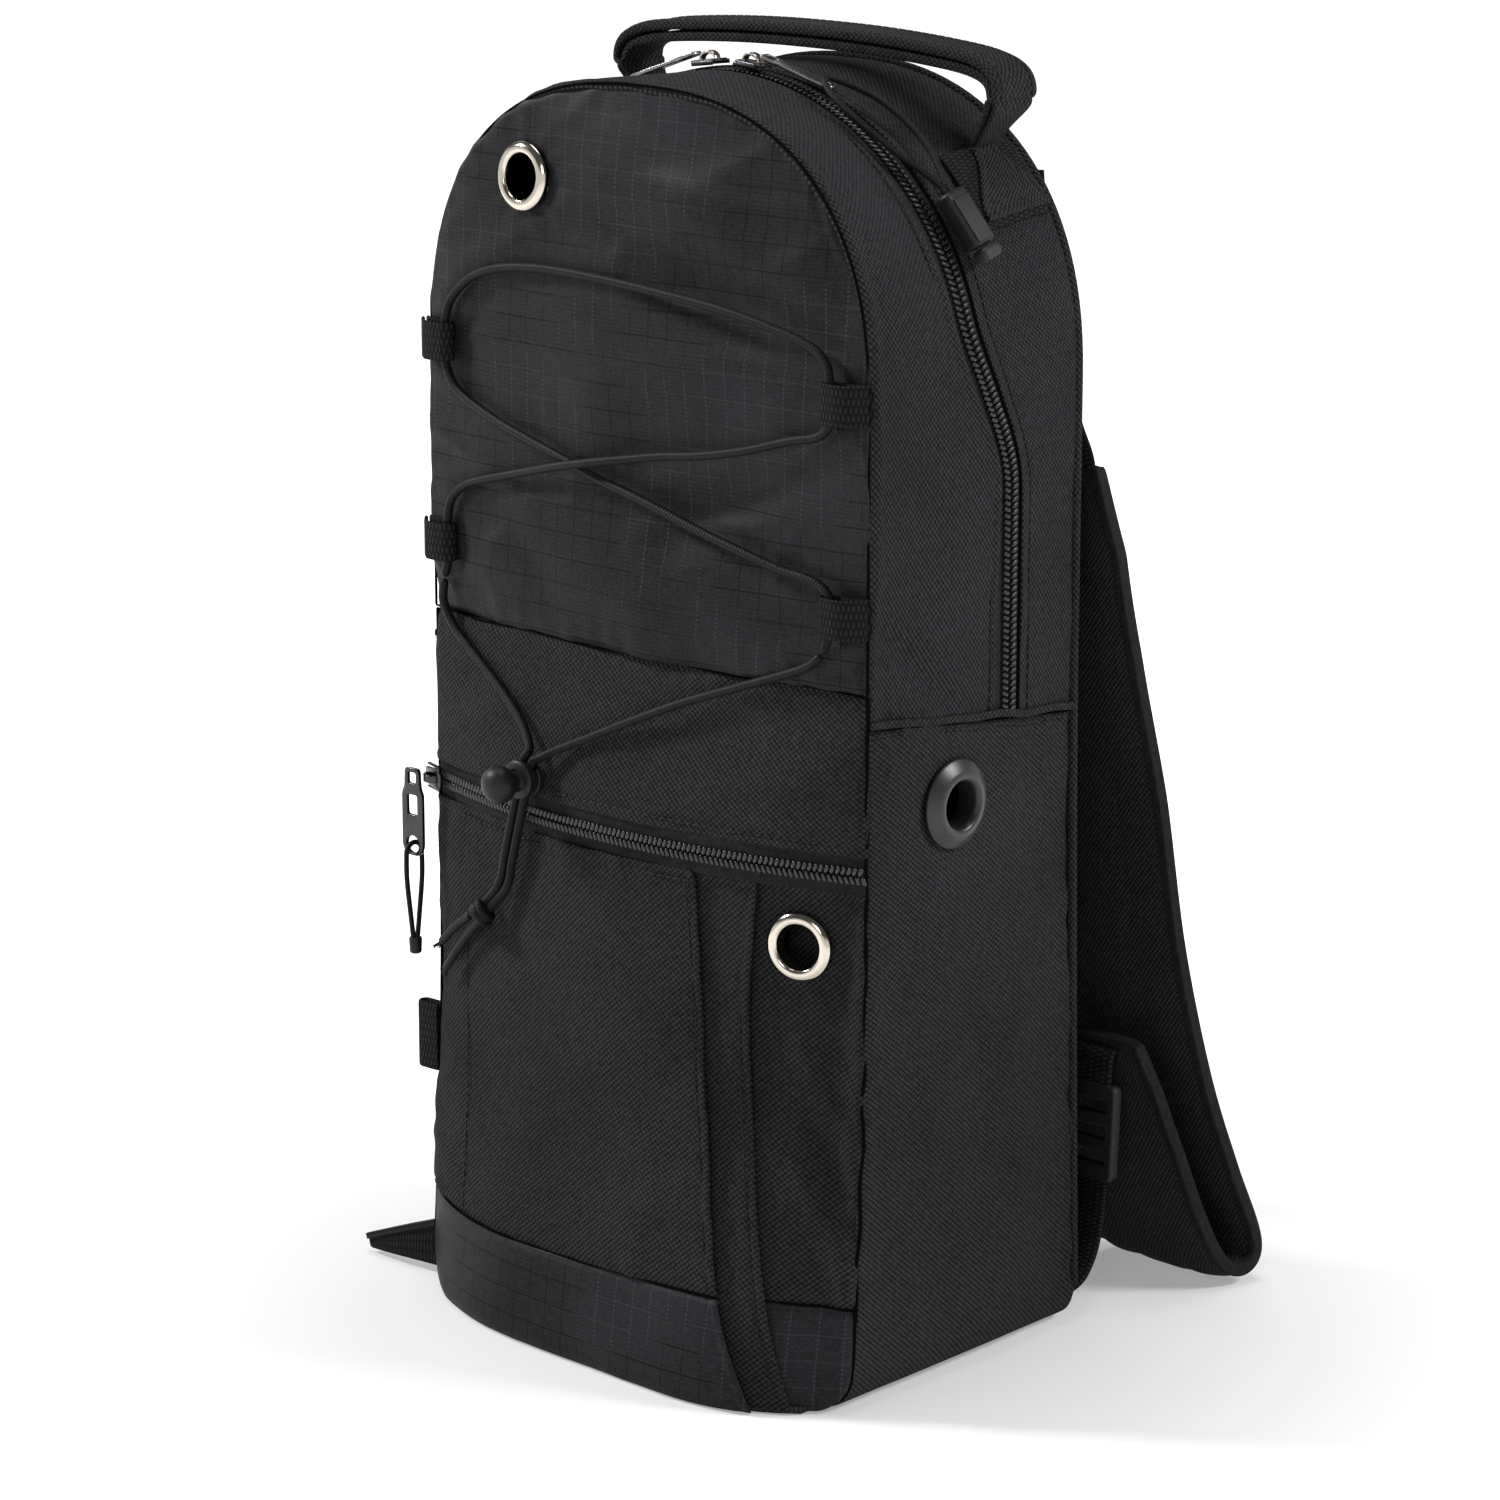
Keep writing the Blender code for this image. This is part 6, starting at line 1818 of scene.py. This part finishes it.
def build_handle():
    half = [Vector((x, HANDLE_Y, z)) for x, z in HANDLE_LINE]
    points = half + [Vector((0, HANDLE_Y, 432.5))] + [Vector((-p.x, p.y, p.z)) for p in reversed(half)]
    widths = [*HANDLE_WIDTHS, 18.0, *reversed(HANDLE_WIDTHS)]
    depths = [*HANDLE_DEPTHS, 7.4, *reversed(HANDLE_DEPTHS)]
    steps = 6
    line = through(points, steps)
    wide = [read_row(widths, k / steps) for k in range(len(line))]
    deep = [read_row(depths, k / steps) for k in range(len(line))]
    last = len(line) - 1
    ups = []
    for k in range(len(line)):
        forward = line[min(last, k + 1)] - line[max(0, k - 1)]
        up = BACKWARD.cross(forward).normalized()
        ups.append(up if up.z > 0 or abs(up.z) < 0.2 and up.x * line[k].x > 0 else -up)
    layers = []
    for index, (shift, share) in enumerate(((0.27, 1.0), (-0.27, 0.9))):
        route = [p + up * d * shift for p, up, d in zip(line, ups, deep)]
        layers.append(
            band(f"haul_handle_layer_{index}", route, BACKWARD, [w * share for w in wide],
                 [d * 0.46 for d in deep], TWILL)
        )
    join(layers[0], layers[1:])
    layers[0].name = "haul_handle_webbing"
    finer(layers[0])
    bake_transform(layers[0])
    stand_for(layers[0], None, "webbing", "haul_handle")
    for index, share in enumerate((-0.36, 0.36)):
        row = []
        for p, up, d, w in list(zip(line, ups, deep, wide))[14:-14]:
            row.append(p + up * (d * 0.5 + 0.05) + Vector((0, w * share, 0)))
        places = [(p, frame_from(a, UP)) for p, a in spaced(row, 3.4)]
        stand_for(scatter(f"haul_handle_stitch_{index}", LONG_STITCH, places, THREAD), "handle", "webbing")

    for side, first, last_turn in (("right", 48.0, 30.0), ("left", 132.0, 150.0)):

        def patch(u, v, first=first, last_turn=last_turn):
            return arch_point(lerp(first, last_turn, u), lerp(13.0, 47.5, v), 2.1)

        def gore(u, v, first=first, last_turn=last_turn):
            spread = lerp(5.0, 15.5, smooth(u * 1.1))
            turn = lerp(first, last_turn, 0.06 + 0.86 * u)
            return arch_point(turn, HANDLE_Y - 1.5 + (2 * v - 1) * spread, 3.0)

        under = Grid(patch, 14, 14, 30, 34)
        under.tuck(("left", "right", "top", "bottom"), 0.6, 1.6)
        obj = under.object(f"handle_end_{side}_webbing", WEBBING, thickness=PATCH_T)
        stand_for(obj, "bag", "webbing", f"handle_end_{side}")
        over = Grid(gore, 18, 14, 26, 22)
        over.hem(("left", "right", "top", "bottom"), 3.2, 0.4)
        stand_for(over.object(f"handle_gore_{side}_cloth", TWILL, thickness=GORE_T), "bag", "twill")


# ---------------------------------------------------------------- straps

UPPER_WEB = (
    (66.0, 53.2, 392.0), (68.0, 54.0, 362.0), (72.0, 58.0, 330.0), (75.0, 64.0, 309.0),
    (76.3, 68.6, 297.5), (76.4, 70.6, 288.0),
)
PAD_LINE = (
    (76.5, 70.5, 294.0), (73.0, 75.0, 264.0), (72.0, 82.0, 228.0), (74.0, 93.5, 177.0),
    (77.0, 101.5, 124.0), (81.5, 112.0, 76.0), (86.0, 122.5, 42.0), (90.0, 130.5, 18.0),
    (91.0, 130.0, 8.5), (90.0, 123.0, 5.4), (88.0, 115.0, 10.0), (85.5, 107.0, 25.0), (82.5, 98.5, 50.0),
    (80.0, 92.0, 74.0), (79.0, 88.0, 91.0),
)
PAD_WIDTHS = (30.0, 50.0, 56.0, 58.0, 58.0, 58.0, 58.0, 58.0, 58.0, 58.0, 58.0, 58.0, 56.0, 50.0, 40.0)
PAD_DEPTHS = (3.0, 8.0, *(9.0,) * 11, 8.0, 4.0)
LOCK_MIDDLE = (80.0, 80.5, 60.0)
END_TAB = ((79.2, 87.0, 88.5), (79.6, 82.6, 86.5), (80.0, 81.0, 79.6), (80.0, 80.6, 73.0))
LOWER_WEB = (
    (80.0, 80.3, 49.0), (80.0, 79.6, 41.5), (81.0, 77.0, 32.0), (83.0, 71.0, 20.5), (84.0, 64.5, 13.5),
    (84.0, 59.6, 11.0), (84.0, 56.5, 10.6),
)


def pillow_section(count=13):
    """A pad's section: full in the middle and drawn in at its bound edges."""
    top = []
    for k in range(count):
        a = cos(pi * k / (count - 1))
        top.append((a, max(0.2, (1 - abs(a) ** 3.2) ** 0.55)))
    return top + [(a, -b) for a, b in reversed(top)]


def build_straps():
    across = RIGHT
    for side, hand in (("right", 1), ("left", -1)):

        def mirrored(rows, hand=hand):
            return [Vector((hand * x, y, z)) for x, y, z in rows]

        body, lock_body = f"strap_{side}", f"strap_lock_{side}"
        obj = band(f"upper_webbing_{side}_web", through(mirrored(UPPER_WEB), 6), across, 27.0, WEB_T, WEBBING)
        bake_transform(obj)
        stand_for(obj, None, "webbing", f"upper_webbing_{side}")

        steps = 8
        line = through(mirrored(PAD_LINE), steps)
        widths = [read_row(PAD_WIDTHS, k / steps) for k in range(len(line))]
        depths = [read_row(PAD_DEPTHS, k / steps) for k in range(len(line))]

        def swell(t, a, b, hand=hand):
            # Sewn channels along the pad, and slight unevenness in its filling.
            channel = -0.9 * exp(-(((abs(a) - 0.42) / 0.07) ** 2))
            lumps = 0.7 * noise.noise(Vector((t * 16, a * 1.5, b + hand * 5)))
            return copysign(1, b) * (channel + lumps * (1 - a * a)) * (abs(b) > 0.25)

        pad = band(f"shoulder_pad_{side}_cloth", line, across, [w - 3.0 for w in widths], depths, PAD_CLOTH,
                   pillow_section(25), swell)
        finer(pad)
        stand_for(pad, body, "padding", f"shoulder_pad_{side}")
        last = len(line) - 1
        normals = []
        for k in range(len(line)):
            normals.append(across.cross(line[min(last, k + 1)] - line[max(0, k - 1)]).normalized())
        for edge in (-1, 1):
            rim = [p + across * edge * (w / 2 - 1.6) for p, w in zip(line, widths)]
            name = "inner" if edge * hand < 0 else "outer"
            obj = band(f"shoulder_pad_{side}_binding_{name}", rim, normals, 5.0, 3.2, PAD_BINDING)
            finer(obj)
            stand_for(obj, body, "padding")
        for name, ends in (("top", line[:3]), ("end", line[-3:])):
            middle = ends[1]
            along = (ends[2] - ends[0]).normalized()
            wide = (PAD_WIDTHS[0] if name == "top" else PAD_WIDTHS[-1]) + 0.5
            rows = [middle + across * wide / 2 * s for s in np.linspace(-1, 1, 9)]
            obj = band(f"shoulder_pad_{side}_binding_{name}", rows, along, 7.0, 4.2, PAD_BINDING)
            finer(obj)
            stand_for(obj, body, "padding")
        tab = band(f"strap_tab_{side}_web", through(mirrored(END_TAB), 5), across, 25.0, WEB_T, WEBBING)
        stand_for(tab, body, "webbing")

        centre = mirrored([LOCK_MIDDLE])[0]
        turn = frame_from(RIGHT, Vector((0, -1, 0.06)))
        outline = rounded([(-15.5, -17), (15.5, -17), (15.5, 17), (-15.5, 17)], 3.0, 6)
        slots = []
        for h in (-9, 0, 9):
            corners = [(-12.5, h - 2.3), (12.5, h - 2.3), (12.5, h + 2.3), (-12.5, h + 2.3)]
            slots.append(rounded(corners, 1.0))
        obj = plate(f"ladder_lock_{side}_frame", [outline, *slots], 4.6, centre, turn, GREY_PLASTIC, 0.9)
        stand_for(obj, lock_body, "grey_plastic", f"ladder_lock_{side}")

        obj = band(f"lower_webbing_{side}_web", through(mirrored(LOWER_WEB), 6), across, 25.0, WEB_T, WEBBING)
        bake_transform(obj)
        stand_for(obj, None, "webbing", f"lower_webbing_{side}")


build_camera()
build_floor()
build_light()
build_lace()
build_main_pullers()
build_pocket_slider()
build_lid_front()
build_strip()
build_seam_shade_lines()
build_sides()
build_back()
build_base()
build_pocket()
build_eyelets()
build_lace_loops()
build_left_trim()
build_cord_lock()
build_handle()
build_straps()
